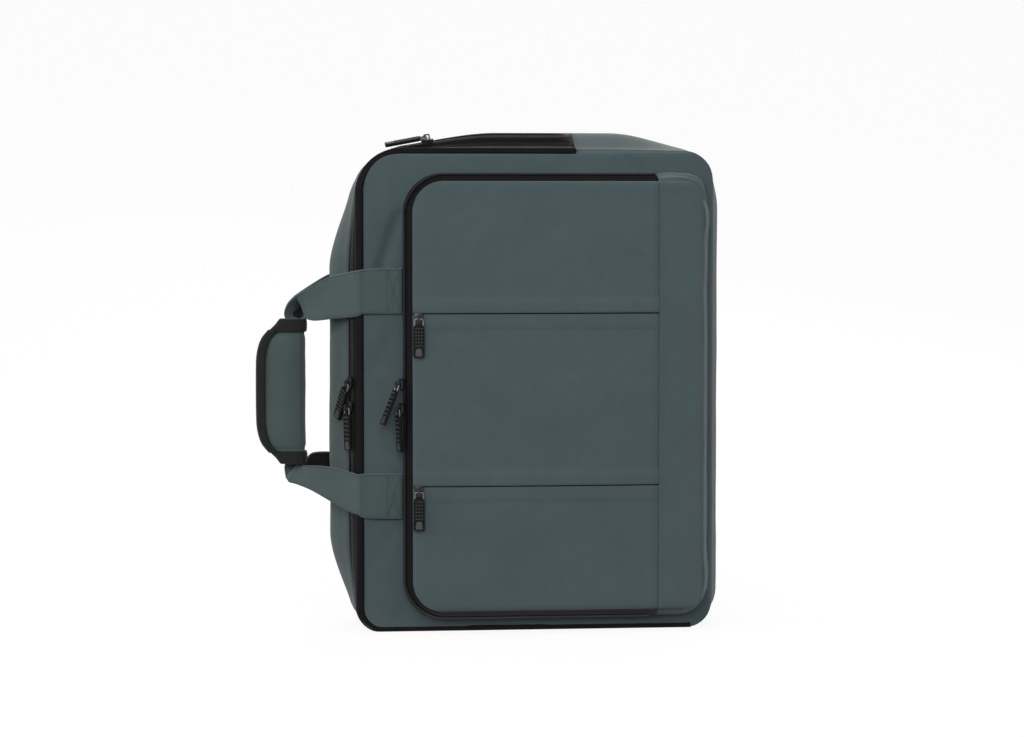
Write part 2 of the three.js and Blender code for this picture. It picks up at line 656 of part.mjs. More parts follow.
function makeSlider() {
  const [w, l] = [sliderSize.width / 2, sliderSize.length / 2];
  const base = plateFromPoints([[-w, -l * 0.7], [-w * 0.6, -l], [w * 0.6, -l], [w, -l * 0.7],
    [w * 0.75, l * 0.6], [w * 0.4, l], [-w * 0.4, l], [-w * 0.75, l * 0.6]], sliderSize.height, 0);
  // The bridge stands on the base, and its window holds the bar of the pull
  const half = bridge.window / 2 + bridge.wall;
  const top = bridge.window + bridge.wall;
  const arch = plateFromPoints([[-half, -0.5], [half, -0.5], [half, top * 0.8], [half * 0.7, top], [-half * 0.7, top],
    [-half, top * 0.8]], bridge.width, -bridge.width / 2,
  [[-bridge.window / 2, 0], [bridge.window / 2, 0], [bridge.window / 2, bridge.window], [-bridge.window / 2, bridge.window]]);
  arch.rotateX(Math.PI / 2).rotateZ(Math.PI / 2).translate(0, 0, sliderSize.height);
  return fromManifold(toManifold(base).add(toManifold(arch)));
}
// The pull hangs from its bar, whose middle is the origin
function makePull(end) {
  const [w, neck, bar] = [pullSize.width / 2, eye.width / 2, eye.bar / 2];
  const shoulder = bar + eye.reach + 1.2;
  const ring = plateFromPoints([[-neck, -bar], [neck, -bar], [neck, shoulder + 2], [-neck, shoulder + 2]],
    eye.bar, -eye.bar / 2,
    [[-eye.hole / 2, bar], [eye.hole / 2, bar], [eye.hole / 2, bar + eye.reach], [-eye.hole / 2, bar + eye.reach]]);
  const grip = plateFromPoints([[-neck, shoulder], [neck, shoulder], [w, shoulder + 3], [w, end - 3],
    [w * 0.6, end], [-w * 0.6, end], [-w, end - 3], [-w, shoulder + 3]], pullSize.thickness, -pullSize.thickness / 2);
  return fromManifold(toManifold(ring).add(toManifold(grip)));
}

// A frame on a surface: out is off the cloth, down is the way the pull hangs
function placeOn(origin, out, down) {
  const x = new THREE.Vector3().crossVectors(down, out).normalize();
  const y = new THREE.Vector3().crossVectors(out, x).normalize();
  const frame = new THREE.Group();
  frame.quaternion.setFromRotationMatrix(new THREE.Matrix4().makeBasis(x, y, out.clone().normalize()));
  frame.position.copy(origin);
  bag.add(frame);
  return frame;
}
// The way off a surface at one place, from three points close together on it
function surfaceOut(point, besideA, besideB, towards) {
  const out = besideA.clone().sub(point).cross(besideB.clone().sub(point)).normalize();
  return out.dot(towards) < 0 ? out.negate() : out;
}
const sliderGeometry = makeSlider();
const pullGeometry = makePull(pullSize.length);
const facePullGeometry = makePull(pullSize.faceLength);
function addSliderAndPull(name, origin, out, down, turn, lift = -pullLean, geometry = pullGeometry) {
  const frame = placeOn(origin.clone().addScaledVector(out, seam), out, down);
  const slider = addPiece(`${name}_slider`, sliderGeometry.clone(), colours.slider, 0.45);
  const pull = addPiece(`${name}_pull`, geometry.clone(), colours.pull, 0.6);
  frame.add(slider, pull);
  pull.position.z = hingeHeight;
  pull.rotation.set(THREE.MathUtils.degToRad(lift), 0, THREE.MathUtils.degToRad(turn), 'ZXY');
}
const sliderSpacing = 22;
const down = new THREE.Vector3(0, 0, -1);
function bodySlider(name, run, depth, towards, pullWay, turn) {
  const place = bodyOutline.at(run);
  const point = bodyPoint(place, depth, coilLift);
  const out = surfaceOut(point, bodyPoint(bodyOutline.at(run + 2), depth, coilLift),
    bodyPoint(place, depth + 1.5, coilLift), towards);
  addSliderAndPull(name, point, out, pullWay, turn);
}
const leftwards = new THREE.Vector3(-1, 0, 0);
const upwards = new THREE.Vector3(0, 0, 1);
const forwards = new THREE.Vector3(0, -1, 0);
const sliderMiddle = handleHeight - 2;
const sideRun = (z) => bodyOutline.runAtHeight(z);
bodySlider('main_upper', sideRun(sliderMiddle + sliderSpacing / 2), mainCoilDepth, leftwards, down, -pullTurn);
bodySlider('main_lower', sideRun(sliderMiddle - sliderSpacing / 2), mainCoilDepth, leftwards, down, 0);
const topSliderX = -95;
bodySlider('top', bodyOutline.runAtTop(topSliderX), topCoilDepth, upwards, leftwards, 0);

function pocketSlider(name, z, lift) {
  const run = pocketOutline.runAtHeight(z);
  const place = pocketOutline.at(run);
  const point = pocketPoint(place, 0.5, coilLift);
  const out = surfaceOut(point, pocketPoint(pocketOutline.at(run + 2), 0.5, coilLift),
    pocketPoint(place, 0.6, coilLift), leftwards);
  addSliderAndPull(name, point, out, down, 0, lift);
}
pocketSlider('pocket_upper', sliderMiddle + sliderSpacing / 2, pullLift);
pocketSlider('pocket_lower', sliderMiddle - sliderSpacing / 2, -pullLean);

// The two sliders on the compartment's face hang just under their flaps, at the left edge
const faceSliderX = faceBox.left + sliderSize.width / 2 + 0.5;
const faceSliderDrop = 6.6;
for (const [name, mouth] of [['face_upper', faceSeams.upper], ['face_lower', faceSeams.lower]]) {
  const z = mouth - faceSliderDrop;
  const point = new THREE.Vector3(faceSliderX, faceSurface(faceSliderX + 3, z) , z);
  addSliderAndPull(name, point, forwards, down, 0, -pullLean, facePullGeometry);
}

export default bag;
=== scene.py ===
"""The look of a convertible briefcase-backpack that stands on its short side.

Sizes are in millimetres, in the part's own frame: +Z up, the front faces -Y, the carry handle is at -X.
MM turns them into metres where a mesh is made.
"""

import json
import math

import bmesh
import bpy
from mathutils import Matrix, Vector, noise


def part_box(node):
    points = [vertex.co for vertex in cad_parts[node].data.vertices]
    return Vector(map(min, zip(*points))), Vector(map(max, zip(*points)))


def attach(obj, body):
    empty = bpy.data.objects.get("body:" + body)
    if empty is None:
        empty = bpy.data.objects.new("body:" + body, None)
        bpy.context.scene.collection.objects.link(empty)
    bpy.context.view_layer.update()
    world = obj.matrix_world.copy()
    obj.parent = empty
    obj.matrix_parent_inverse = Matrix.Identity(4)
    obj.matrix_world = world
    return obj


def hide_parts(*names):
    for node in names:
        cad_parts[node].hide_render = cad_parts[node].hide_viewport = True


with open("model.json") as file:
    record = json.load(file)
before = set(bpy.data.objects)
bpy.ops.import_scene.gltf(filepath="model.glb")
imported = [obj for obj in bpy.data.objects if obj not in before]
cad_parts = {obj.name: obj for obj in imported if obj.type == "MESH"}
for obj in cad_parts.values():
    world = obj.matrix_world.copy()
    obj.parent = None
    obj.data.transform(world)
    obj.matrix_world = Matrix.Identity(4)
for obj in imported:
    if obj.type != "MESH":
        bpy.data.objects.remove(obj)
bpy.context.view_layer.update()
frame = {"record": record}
MM = 0.001
BAG = "bag"


def node_box(node):
    """A node's lowest and highest corners in millimetres."""
    low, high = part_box(node)
    return Vector(low) / MM, Vector(high) / MM


# Main body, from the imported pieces
panel_low, panel_high = node_box("front_panel")
LEFT, RIGHT = panel_low.x, panel_high.x
BODY_WIDTH = RIGHT - LEFT
BODY_HEIGHT = panel_high.z
BODY_MIDDLE = Vector((0, 0, BODY_HEIGHT / 2))
PANEL_ROLL = 2.5
PANEL_ROLL_WIDTH = 5.0
FRONT_PLANE = panel_low.y + PANEL_ROLL
BACK_PLANE = node_box("back_panel")[1].y - PANEL_ROLL
BODY_DEPTH = BACK_PLANE - FRONT_PLANE
CORNERS = {"top_left": 40.0, "bottom_left": 22.0, "bottom_right": 24.0, "top_right": 25.0}
SIDE_BULGE = {"left": 23.0, "top": 17.5, "right": 12.0}
BULGE_DEPTH = 48.0    # how far behind the front the side walls stand out most
CLOTH = 1.6
SEAM = 0.3

# Zips
MAIN_ZIP = 15.0
TOP_ZIP = 36.0
TOP_CUT = 36.5
BASE_ZIP_END = 142.0
TOOTH_PITCH = 1.75
STITCH_PITCH = 3.0
STITCH_SIZE = (2.2, 0.55, 0.5)
BAND_STEP = 3.0    # between the rows of points along a zip's band

# Front compartment
tape_low, tape_high = node_box("pocket_zip_tape")
POCKET_INSET = {"left": 41.0, "right": 5.5, "low": 12.5, "high": 20.5}
POCKET_LEAN = {"left": 6.0, "right": 8.0, "low": 9.0, "high": 6.0}
POCKET_CORNERS = {"top_left": 33.0, "bottom_left": 33.0, "bottom_right": 24.0, "top_right": 24.0}
POCKET_BULGE = 2.5
POCKET_FOOT = tape_high.y
POCKET_RIM = tape_low.y
POCKET = {
    "left": LEFT + POCKET_INSET["left"], "right": RIGHT - POCKET_INSET["right"],
    "low": POCKET_INSET["low"], "high": BODY_HEIGHT - POCKET_INSET["high"],
}
FACE = {
    "left": POCKET["left"] + POCKET_LEAN["left"], "right": POCKET["right"] - POCKET_LEAN["right"],
    "low": POCKET["low"] + POCKET_LEAN["low"], "high": POCKET["high"] - POCKET_LEAN["high"],
}
FACE_CROWN = 4.0
FACE_WALL = 2.0
BAND_SEAM = node_box("face_side")[0].x - SEAM
UPPER_MOUTH = node_box("face_top")[0].z
LOWER_MOUTH = node_box("face_middle")[0].z
MOUTH = 4.0

# Carry handle
wrap_low, wrap_high = node_box("grip_wrap")
GRIP_RIGHT = wrap_high.x
GRIP_WIDTH = wrap_high.x - wrap_low.x
GRIP_THICKNESS = wrap_high.y - wrap_low.y
GRIP_TOP, GRIP_BASE = wrap_high.z, wrap_low.z
GRIP_WALL = 3.8
CUFF = 12.0
STRAP_WIDTH = 41.0
STRAP_WALL = 2.4
strap_low, strap_high = node_box("strap_front")
ANCHOR_TOP, ANCHOR_BASE = strap_high.z, strap_low.z
STRAP_START = strap_high.x
STRAP_FACE = FRONT_PLANE - PANEL_ROLL - SEAM - STRAP_WALL


def mix(a, b, share):
    return a + (b - a) * share


def clamp01(value):
    return min(1.0, max(0.0, value))


def smooth(start, end, value):
    share = clamp01((value - start) / (end - start))
    return share * share * (3 - 2 * share)


def spread(start, end, steps):
    return [mix(start, end, i / steps) for i in range(steps + 1)]


def ridge(distance, height, width):
    """A smooth ridge of the given height and half width. A negative height makes a groove."""
    return height * math.exp(-(distance / width) ** 2)


def ripple(x, y, z, size, seed):
    """Smooth noise between about -1 and 1 with features of the given size."""
    return noise.noise(Vector((x / size + seed * 17.3, y / size - seed * 5.1, z / size + seed * 3.7)))


def away_from(centre):
    """Names the way outwards at each point of a shell round a centre."""
    return lambda point: point - centre


def add_object(name, data):
    obj = bpy.data.objects.new(name, data)
    bpy.context.collection.objects.link(obj)
    return obj


# Shader groups that several materials share


def new_group(name, inputs, outputs):
    """A shader group with named sockets. Returns the tree and its input and output nodes."""
    tree = bpy.data.node_groups.new(name, "ShaderNodeTree")
    for label, kind, value in inputs:
        socket = tree.interface.new_socket(label, in_out="INPUT", socket_type=kind)
        if value is not None:
            socket.default_value = value
    for label, kind in outputs:
        tree.interface.new_socket(label, in_out="OUTPUT", socket_type=kind)
    return tree, tree.nodes.new("NodeGroupInput"), tree.nodes.new("NodeGroupOutput")


def add_node(tree, kind, links=None, values=None, **settings):
    """A node with its settings, its input values and the sockets that feed its inputs."""
    node = tree.nodes.new(kind)
    for key, value in settings.items():
        setattr(node, key, value)
    for label, value in (values or {}).items():
        node.inputs[label].default_value = value
    for label, socket in (links or {}).items():
        tree.links.new(socket, node.inputs[label])
    return node


def math_node(tree, operation, first, second=None, third=None):
    node = add_node(tree, "ShaderNodeMath", operation=operation)
    for socket, value in zip(node.inputs, (first, second, third)):
        if isinstance(value, bpy.types.NodeSocket):
            tree.links.new(value, socket)
        elif value is not None:
            socket.default_value = value
    return node.outputs[0]


def noise_node(tree, vector, scale, detail=3.0):
    node = add_node(tree, "ShaderNodeTexNoise", {"Vector": vector}, {"Scale": scale, "Detail": detail})
    return node.outputs["Fac"]


def weave_group():
    """Plain weave from a UV map in metres: threads that pass over and under each other."""
    tree, start, end = new_group(
        "plain_weave",
        [("UV", "NodeSocketVector", None), ("Threads per metre", "NodeSocketFloat", 1400.0)],
        [("Height", "NodeSocketFloat"), ("Slub", "NodeSocketFloat")],
    )
    scaled = add_node(tree, "ShaderNodeVectorMath",
                      {0: start.outputs["UV"], "Scale": start.outputs["Threads per metre"]},
                      operation="SCALE")
    split = add_node(tree, "ShaderNodeSeparateXYZ", {0: scaled.outputs[0]})
    warp = math_node(tree, "SINE", math_node(tree, "MULTIPLY", split.outputs["X"], math.pi))
    weft = math_node(tree, "SINE", math_node(tree, "MULTIPLY", split.outputs["Y"], math.pi))
    crossing = math_node(tree, "MULTIPLY", warp, weft)
    tree.links.new(math_node(tree, "ABSOLUTE", crossing), end.inputs["Height"])
    tree.links.new(noise_node(tree, scaled.outputs[0], 0.05, 2.0), end.inputs["Slub"])
    return tree


def mottle_group():
    """Uneven dye and handling marks: two sizes of soft blotches between two colours."""
    tree, start, end = new_group(
        "uneven_dye",
        [
            ("Place", "NodeSocketVector", None),
            ("Light", "NodeSocketColor", (0.1, 0.1, 0.1, 1)),
            ("Dark", "NodeSocketColor", (0.05, 0.05, 0.05, 1)),
            ("Contrast", "NodeSocketFloat", 1.0),
        ],
        [("Color", "NodeSocketColor")],
    )
    broad = noise_node(tree, start.outputs["Place"], 14.0, 2.0)
    fine = noise_node(tree, start.outputs["Place"], 95.0, 4.0)
    broad_share = 0.55
    both = math_node(tree, "MULTIPLY_ADD", fine, 1 - broad_share,
                     math_node(tree, "MULTIPLY", broad, broad_share))
    centred = math_node(tree, "SUBTRACT", both, 0.5)
    spread_out = math_node(tree, "MULTIPLY_ADD", centred, start.outputs["Contrast"], 0.5)
    blend = add_node(tree, "ShaderNodeMixRGB", {"Fac": spread_out, "Color1": start.outputs["Dark"],
                                                "Color2": start.outputs["Light"]})
    tree.links.new(blend.outputs["Color"], end.inputs["Color"])
    return tree


def grain_group():
    """Fine moulded or enamelled grain: a height and a roughness variation."""
    tree, start, end = new_group(
        "fine_grain",
        [("Place", "NodeSocketVector", None), ("Scale", "NodeSocketFloat", 900.0),
         ("Rough from", "NodeSocketFloat", 0.35), ("Rough to", "NodeSocketFloat", 0.55)],
        [("Height", "NodeSocketFloat"), ("Roughness", "NodeSocketFloat")],
    )
    grain = add_node(tree, "ShaderNodeTexNoise",
                     {"Vector": start.outputs["Place"], "Scale": start.outputs["Scale"]}, {"Detail": 3.0})
    wide = noise_node(tree, start.outputs["Place"], 60.0, 3.0)
    span = math_node(tree, "SUBTRACT", start.outputs["Rough to"], start.outputs["Rough from"])
    rough = math_node(tree, "MULTIPLY_ADD", wide, span, start.outputs["Rough from"])
    tree.links.new(grain.outputs["Fac"], end.inputs["Height"])
    tree.links.new(rough, end.inputs["Roughness"])
    return tree


WEAVE = weave_group()
MOTTLE = mottle_group()
GRAIN = grain_group()


# Materials


def srgb(red, green, blue):
    """A colour given in display values from 0 to 255, as the linear values that shaders use."""
    def linear(value):
        share = value / 255
        return share / 12.92 if share <= 0.04045 else ((share + 0.055) / 1.055) ** 2.4
    return (linear(red), linear(green), linear(blue), 1.0)


def new_material(name):
    material = bpy.data.materials.new(name)
    material.use_nodes = True
    tree = material.node_tree
    shader = tree.nodes["Principled BSDF"]
    coordinates = tree.nodes.new("ShaderNodeTexCoord")
    return material, tree, shader, coordinates


def use_group(tree, group, links, values):
    return add_node(tree, "ShaderNodeGroup", links, values, node_tree=group)


def bump(tree, shader, height, strength, distance):
    node = add_node(tree, "ShaderNodeBump", {"Height": height}, {"Strength": strength, "Distance": distance})
    tree.links.new(node.outputs["Normal"], shader.inputs["Normal"])


def base_material(name, light, dark, contrast, grain_scale, rough, specular):
    """A material with uneven dye and grain, and the nodes that the caller goes on from."""
    material, tree, shader, coordinates = new_material(name)
    place = {"Place": coordinates.outputs["Object"]}
    dye = use_group(tree, MOTTLE, place, {"Light": light, "Dark": dark, "Contrast": contrast})
    grain = use_group(tree, GRAIN, place,
                      {"Scale": grain_scale, "Rough from": rough[0], "Rough to": rough[1]})
    tree.links.new(dye.outputs["Color"], shader.inputs["Base Color"])
    tree.links.new(grain.outputs["Roughness"], shader.inputs["Roughness"])
    shader.inputs["Specular IOR Level"].default_value = specular
    return material, tree, shader, coordinates, grain.outputs["Height"]


def cloth_material(name, light, dark, threads=1300.0, depth=0.00025, sheen=0.25, rough=(0.72, 0.92),
                   specular=0.25):
    material, tree, shader, coordinates, grain = base_material(
        name, light, dark, 1.0, 1100.0, rough, specular)
    weave = use_group(tree, WEAVE, {"UV": coordinates.outputs["UV"]}, {"Threads per metre": threads})
    height = math_node(tree, "MULTIPLY_ADD", weave.outputs["Height"], RELIEF["threads"],
                       math_node(tree, "MULTIPLY", grain, RELIEF["grain"]))
    height = math_node(tree, "MULTIPLY_ADD", weave.outputs["Slub"], RELIEF["slub"], height)
    bump(tree, shader, height, 0.5, depth)
    shader.inputs["Sheen Weight"].default_value = sheen
    shader.inputs["Sheen Roughness"].default_value = 0.5
    return material


def plastic_material(name, light, dark, rough, scale=900.0, metallic=0.0, coat=0.0, specular=0.5):
    material, tree, shader, _, grain = base_material(name, light, dark, 1.4, scale, rough, specular)
    bump(tree, shader, grain, 0.4, 0.00008)
    shader.inputs["Metallic"].default_value = metallic
    shader.inputs["Coat Weight"].default_value = coat
    return material


# Shares of a cloth's threads, grain and thick places in the height of its surface
RELIEF = {"threads": 0.6, "grain": 0.5, "slub": 0.5}
FACE_CLOTH = cloth_material("slate_cloth_face", srgb(85, 102, 104), srgb(70, 86, 90))
SIDE_CLOTH = cloth_material("slate_cloth_side", srgb(81, 98, 97), srgb(65, 80, 81))
STRAP_CLOTH = cloth_material("slate_strap", srgb(86, 103, 103), srgb(71, 86, 87), threads=1000.0)
LINING = cloth_material("black_lining", srgb(34, 34, 35), srgb(24, 24, 25), sheen=0.1)
ZIP_TAPE = cloth_material("coated_zip_tape", srgb(19, 18, 19), srgb(13, 12, 13), threads=900.0,
                          depth=0.0001, sheen=0.0, rough=(0.5, 0.66), specular=0.1)
BINDING = cloth_material("ribbed_binding", srgb(31, 31, 32), srgb(21, 21, 22), threads=700.0,
                         depth=0.0004, sheen=0.1)
COIL = plastic_material("black_coil", srgb(42, 42, 43), srgb(27, 27, 28), (0.3, 0.5))
SLIDER = plastic_material("black_enamel", srgb(46, 46, 48), srgb(28, 28, 30), (0.25, 0.45),
                          metallic=0.6, coat=0.2)
BRIGHT_METAL = plastic_material("worn_metal", srgb(132, 134, 134), srgb(76, 78, 80), (0.25, 0.4),
                                metallic=1.0)
PULL = plastic_material("moulded_pull", srgb(20, 20, 21), srgb(13, 13, 14), (0.45, 0.65), specular=0.15)
# Grey of the pull's end; the raised dots use it too, as painted highlight that stands in for their glints.
PULL_TIP_AND_DOT_GLINT = plastic_material("grey_tip_and_painted_dot_glint", srgb(66, 67, 68), srgb(50, 51, 52), (0.4, 0.6))
THREAD = plastic_material("sewing_thread", srgb(66, 78, 79), srgb(52, 62, 63), (0.6, 0.8), scale=3000.0)
SHADE_THREAD = plastic_material("dark_thread", srgb(50, 59, 60), srgb(38, 45, 46), (0.6, 0.8),
                                scale=3000.0)


# Meshes from grids of points


def polyline_lengths(points):
    lengths = [0.0]
    for before, after in zip(points, points[1:]):
        lengths.append(lengths[-1] + (after - before).length)
    return lengths


def grid_object(name, rows, material, out=None, ring=False):
    """A sheet through rows of points in millimetres. Its UV map is in metres along and across the rows.

    out is a direction, or a function of a point that gives one, that the faces look along.
    """
    across = len(rows[0])
    points = [p for row in rows for p in row]
    middle_column = [row[across // 2] for row in rows]
    along = polyline_lengths(middle_column + ([middle_column[0]] if ring else []))
    widths = polyline_lengths(rows[len(rows) // 2])
    faces, uvs = [], []
    for i in range(len(rows) if ring else len(rows) - 1):
        j = (i + 1) % len(rows)
        for k in range(across - 1):
            faces.append((i * across + k, i * across + k + 1, j * across + k + 1, j * across + k))
            uvs.append([(along[i], widths[k]), (along[i], widths[k + 1]),
                        (along[i + 1], widths[k + 1]), (along[i + 1], widths[k])])
    if out is not None:
        corner = [points[i] for i in faces[len(faces) // 2]]
        normal = (corner[1] - corner[0]).cross(corner[3] - corner[0])
        wanted = out(corner[0]) if callable(out) else out
        if normal.dot(wanted) < 0:
            faces = [tuple(reversed(face)) for face in faces]
            uvs = [list(reversed(uv)) for uv in uvs]
    mesh = bpy.data.meshes.new(name)
    mesh.from_pydata([p * MM for p in points], [], faces)
    layer = mesh.uv_layers.new(name="cloth")
    flat = [value * MM for uv in uvs for pair in uv for value in pair]
    layer.data.foreach_set("uv", flat)
    mesh.materials.append(material)
    mesh.shade_smooth()
    return add_object(name, mesh)


def thicken(obj, wall, inner=None):
    """Gives a sheet its thickness on the inner side, with another material there if one is named."""
    solidify = obj.modifiers.new("wall", "SOLIDIFY")
    solidify.thickness = wall * MM
    solidify.offset = -1.0
    if inner is not None:
        obj.data.materials.append(inner)
        solidify.material_offset = 1
        solidify.material_offset_rim = 0
    return obj


def seat(obj, slot, *nodes, body=BAG):
    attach(obj, body)
    if nodes:
        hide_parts(*nodes)
    return obj


class Outline:
    """A box with rounded corners seen from the front. Runs start at the middle of the top and go left,
    down, along the base and up the right side."""

    def __init__(self, box, corners):
        left, right, low, high = box["left"], box["right"], box["low"], box["high"]
        self.box, self.corners, self.middle = box, corners, (left + right) / 2
        self.parts = []
        a, b, c, d = (corners[key] for key in ("top_left", "bottom_left", "bottom_right", "top_right"))
        self.line((self.middle, high), (left + a, high), (0, 1))
        self.arc((left + a, high - a), a, 90)
        self.line((left, high - a), (left, low + b), (-1, 0))
        self.arc((left + b, low + b), b, 180)
        self.line((left + b, low), (right - c, low), (0, -1))
        self.arc((right - c, low + c), c, 270)
        self.line((right, low + c), (right, high - d), (1, 0))
        self.arc((right - d, high - d), d, 0)
        self.line((right - d, high), (self.middle, high), (0, 1))
        self.total = self.parts[-1]["start"] + self.parts[-1]["length"]

    def add(self, length, at):
        start = self.parts[-1]["start"] + self.parts[-1]["length"] if self.parts else 0.0
        self.parts.append({"start": start, "length": length, "at": at})

    def line(self, start, end, out):
        length = math.hypot(end[0] - start[0], end[1] - start[1])
        self.add(length, lambda s: (mix(start[0], end[0], s), mix(start[1], end[1], s), *out))

    def arc(self, centre, radius, degrees):
        def at(share):
            angle = math.radians(degrees + 90 * share)
            nx, nz = math.cos(angle), math.sin(angle)
            return (centre[0] + radius * nx, centre[1] + radius * nz, nx, nz)
        self.add(radius * math.pi / 2, at)

    def at(self, run):
        wrapped = run % self.total
        part = [p for p in self.parts if p["start"] <= wrapped + 1e-9][-1]
        return part["at"](clamp01((wrapped - part["start"]) / part["length"]))

    def run_at_height(self, z):
        return self.parts[2]["start"] + self.box["high"] - self.corners["top_left"] - z

    def run_at_base(self, x):
        return self.parts[4]["start"] + x - self.box["left"] - self.corners["bottom_left"]

    def run_at_top(self, x):
        return self.middle - x

    def runs(self, start, end, step):
        return spread(start, end, max(2, round((end - start) / step)))


def cubic_rows(rows, steps):
    """Rows of numbers between a table's rows, by a smooth curve through each column."""
    made = []
    for i in range(len(rows) - 1):
        p0, p1 = rows[max(0, i - 1)], rows[i]
        p2, p3 = rows[i + 1], rows[min(len(rows) - 1, i + 2)]
        for k in range(steps):
            t = k / steps
            made.append([0.5 * (2 * b + (c - a) * t + (2 * a - 5 * b + 4 * c - d) * t * t
                                + (3 * b - a - 3 * c + d) * t ** 3) for a, b, c, d in zip(p0, p1, p2, p3)])
    made.append(list(rows[-1]))
    return made


# Side walls of the main body

BODY = Outline({"left": LEFT, "right": RIGHT, "low": 0.0, "high": BODY_HEIGHT}, CORNERS)
# Where each side wall begins to stand out, is full, begins to fade and ends, as shares of its length
SWELLING = {
    "left": (-0.01, 0.2, 0.75, 0.975),
    "top": (0.0, 0.4, 0.725, 1.02),
    "right": (-0.02, 0.07, 0.88, 1.02),
}
WALL_START = PANEL_ROLL + SEAM
WALL_END = BODY_DEPTH - WALL_START


def swelling_at(side, share):
    begins, full, fades, ends = SWELLING[side]
    return SIDE_BULGE[side] * smooth(begins, full, share) * (1 - smooth(fades, ends, share))


def depth_share(depth):
    """How much of the swelling a side wall has at a depth behind the front."""
    share = depth / BULGE_DEPTH
    if depth >= BULGE_DEPTH:
        share = (BODY_DEPTH - depth) / (BODY_DEPTH - BULGE_DEPTH)
    return 0.65 * smooth(0, 1, share) + 0.35 * math.sin(clamp01(share) * math.pi / 2)


def body_point(run, depth, lift=0.0):
    """A place on the side walls. The base stays flat, where the bag stands."""
    x, z, nx, nz = BODY.at(run)
    bulge = swelling_at("left" if nx < 0 else "right", z / BODY_HEIGHT) * abs(nx)
    bulge += swelling_at("top", (x - LEFT) / BODY_WIDTH) * max(0.0, nz)
    out = bulge * depth_share(depth) + lift
    return Vector((x + nx * out, FRONT_PLANE + depth, max(z + nz * out, 0.0)))


TOP_CUT_RUN = BODY.run_at_top(TOP_CUT)
BASE_END_RUN = BODY.run_at_base(BASE_ZIP_END)
TOP_STRIP_END = BODY.run_at_top(LEFT + CORNERS["top_left"] * 0.7)
WALL_STEP = 4.0
TURNED_IN = {"on": 1.5, "under": 1.9}    # how far the wall's cloth runs on past a seam, and how far below
SEAM_GROOVE = {"depth": 1.2, "width": 1.8}


def cloth_wave(p, seed, height):
    """Soft undulation of loosely filled cloth."""
    return height * (0.7 * ripple(p.x, p.y, p.z, 70, seed) + 0.3 * ripple(p.x, p.y, p.z, 24, seed + 3))


def hem(distance, height=0.7, width=3.0):
    """The rise of cloth that is turned under at an edge."""
    if distance > width * 2:
        return 0.0
    return height * (1 - smooth(width, width * 2, distance)) * smooth(-0.3, width * 0.4, distance)


def near_seams(first, last):
    """Depths across the wall, closer together beside its two seams."""
    close = (0.0, 0.6, 1.2, 1.9)
    return ([first + place for place in close] + spread(first + 4.5, last - 4.5, 20)
            + [last - place for place in reversed(close)])


def make_side_wall():
    stretches = [
        (TOP_CUT_RUN + SEAM, TOP_STRIP_END - SEAM, MAIN_ZIP + TOP_ZIP + SEAM),
        (TOP_STRIP_END + SEAM, BASE_END_RUN - SEAM, MAIN_ZIP + SEAM),
        (BASE_END_RUN + SEAM, TOP_CUT_RUN - SEAM + BODY.total, WALL_START),
    ]
    rows = []
    for start, end, first in stretches:
        for run in BODY.runs(start, end, WALL_STEP):
            row = [body_point(run, first - TURNED_IN["on"], -TURNED_IN["under"])]
            for depth in near_seams(first, WALL_END):
                point = body_point(run, depth)
                from_seam = min(depth - first, WALL_END - depth)
                slack = 1.3 if point.x < 0 else 0.8
                lifted = cloth_wave(point, 1, slack) * smooth(0, 14, from_seam) * smooth(0, 30, point.z)
                lifted += hem(depth - first) * smooth(0, 6, point.z)
                lifted -= SEAM_GROOVE["depth"] * (1 - smooth(0, SEAM_GROOVE["width"], from_seam))
                row.append(body_point(run, depth, lifted))
            row.append(body_point(run, WALL_END + TURNED_IN["on"], -TURNED_IN["under"]))
            rows.append(row)
    obj = grid_object("side_wall", rows, SIDE_CLOTH, away_from(BODY_MIDDLE), ring=True)
    seat(thicken(obj, CLOTH, LINING), "side_cloth", "gusset")


MAIN_COIL_DEPTH = WALL_START + (MAIN_ZIP - WALL_START) * 0.45
TOP_COIL_DEPTH = MAIN_ZIP + TOP_ZIP * 0.42


def main_tape_lift(run, depth):
    """The tape's front half is a smooth rounded guard, and the chain lies in a shallow groove behind it."""
    guard = ridge(depth - WALL_START - 1.6, 1.3, 2.0)
    groove = ridge(depth - MAIN_COIL_DEPTH, -0.5, 2.6)
    return (guard + groove) * smooth(0, 6, body_point(run, depth).z)


# The rolled front edge of the main zip's tape, thicker down the side than along the top and base
GUARD = {"inset": 2.6, "radius": 4.8, "depth": 1.0, "top_inset": 0.1, "top_radius": 3.5, "base_less": 1.0}
GUARD_START = -0.6    # angle at which the roll begins, beside the front panel
MAIN_TAPE_WALL = 1.2


def guard_point(run, angle):
    """The front edge of the zip's tape, rolled round the front edge of the bag. Angle 0 faces forwards."""
    x, z, nx, nz = BODY.at(run)
    top = max(0.0, nz)
    radius = mix(GUARD["radius"], GUARD["top_radius"], top) - GUARD["base_less"] * max(0.0, -nz)
    out = -mix(GUARD["inset"], GUARD["top_inset"], top) + radius * math.sin(angle)
    return Vector((x + nx * out, FRONT_PLANE + GUARD["depth"] - radius * math.cos(angle),
                   max(z + nz * out, 0.0)))


def make_main_band():
    rows = []
    for run in BODY.runs(TOP_CUT_RUN + 2 * SEAM, BASE_END_RUN - 2 * SEAM, BAND_STEP):
        row = [guard_point(run, angle) for angle in spread(GUARD_START, math.pi / 2, 12)]
        row += [body_point(run, depth, main_tape_lift(run, depth))
                for depth in spread(WALL_START, MAIN_ZIP, 18)]
        rows.append(row)
    obj = grid_object("main_zip_band", rows, ZIP_TAPE, Vector((0, -1, 0)))
    seat(thicken(obj, MAIN_TAPE_WALL), "zip_tape", "main_zip_tape")


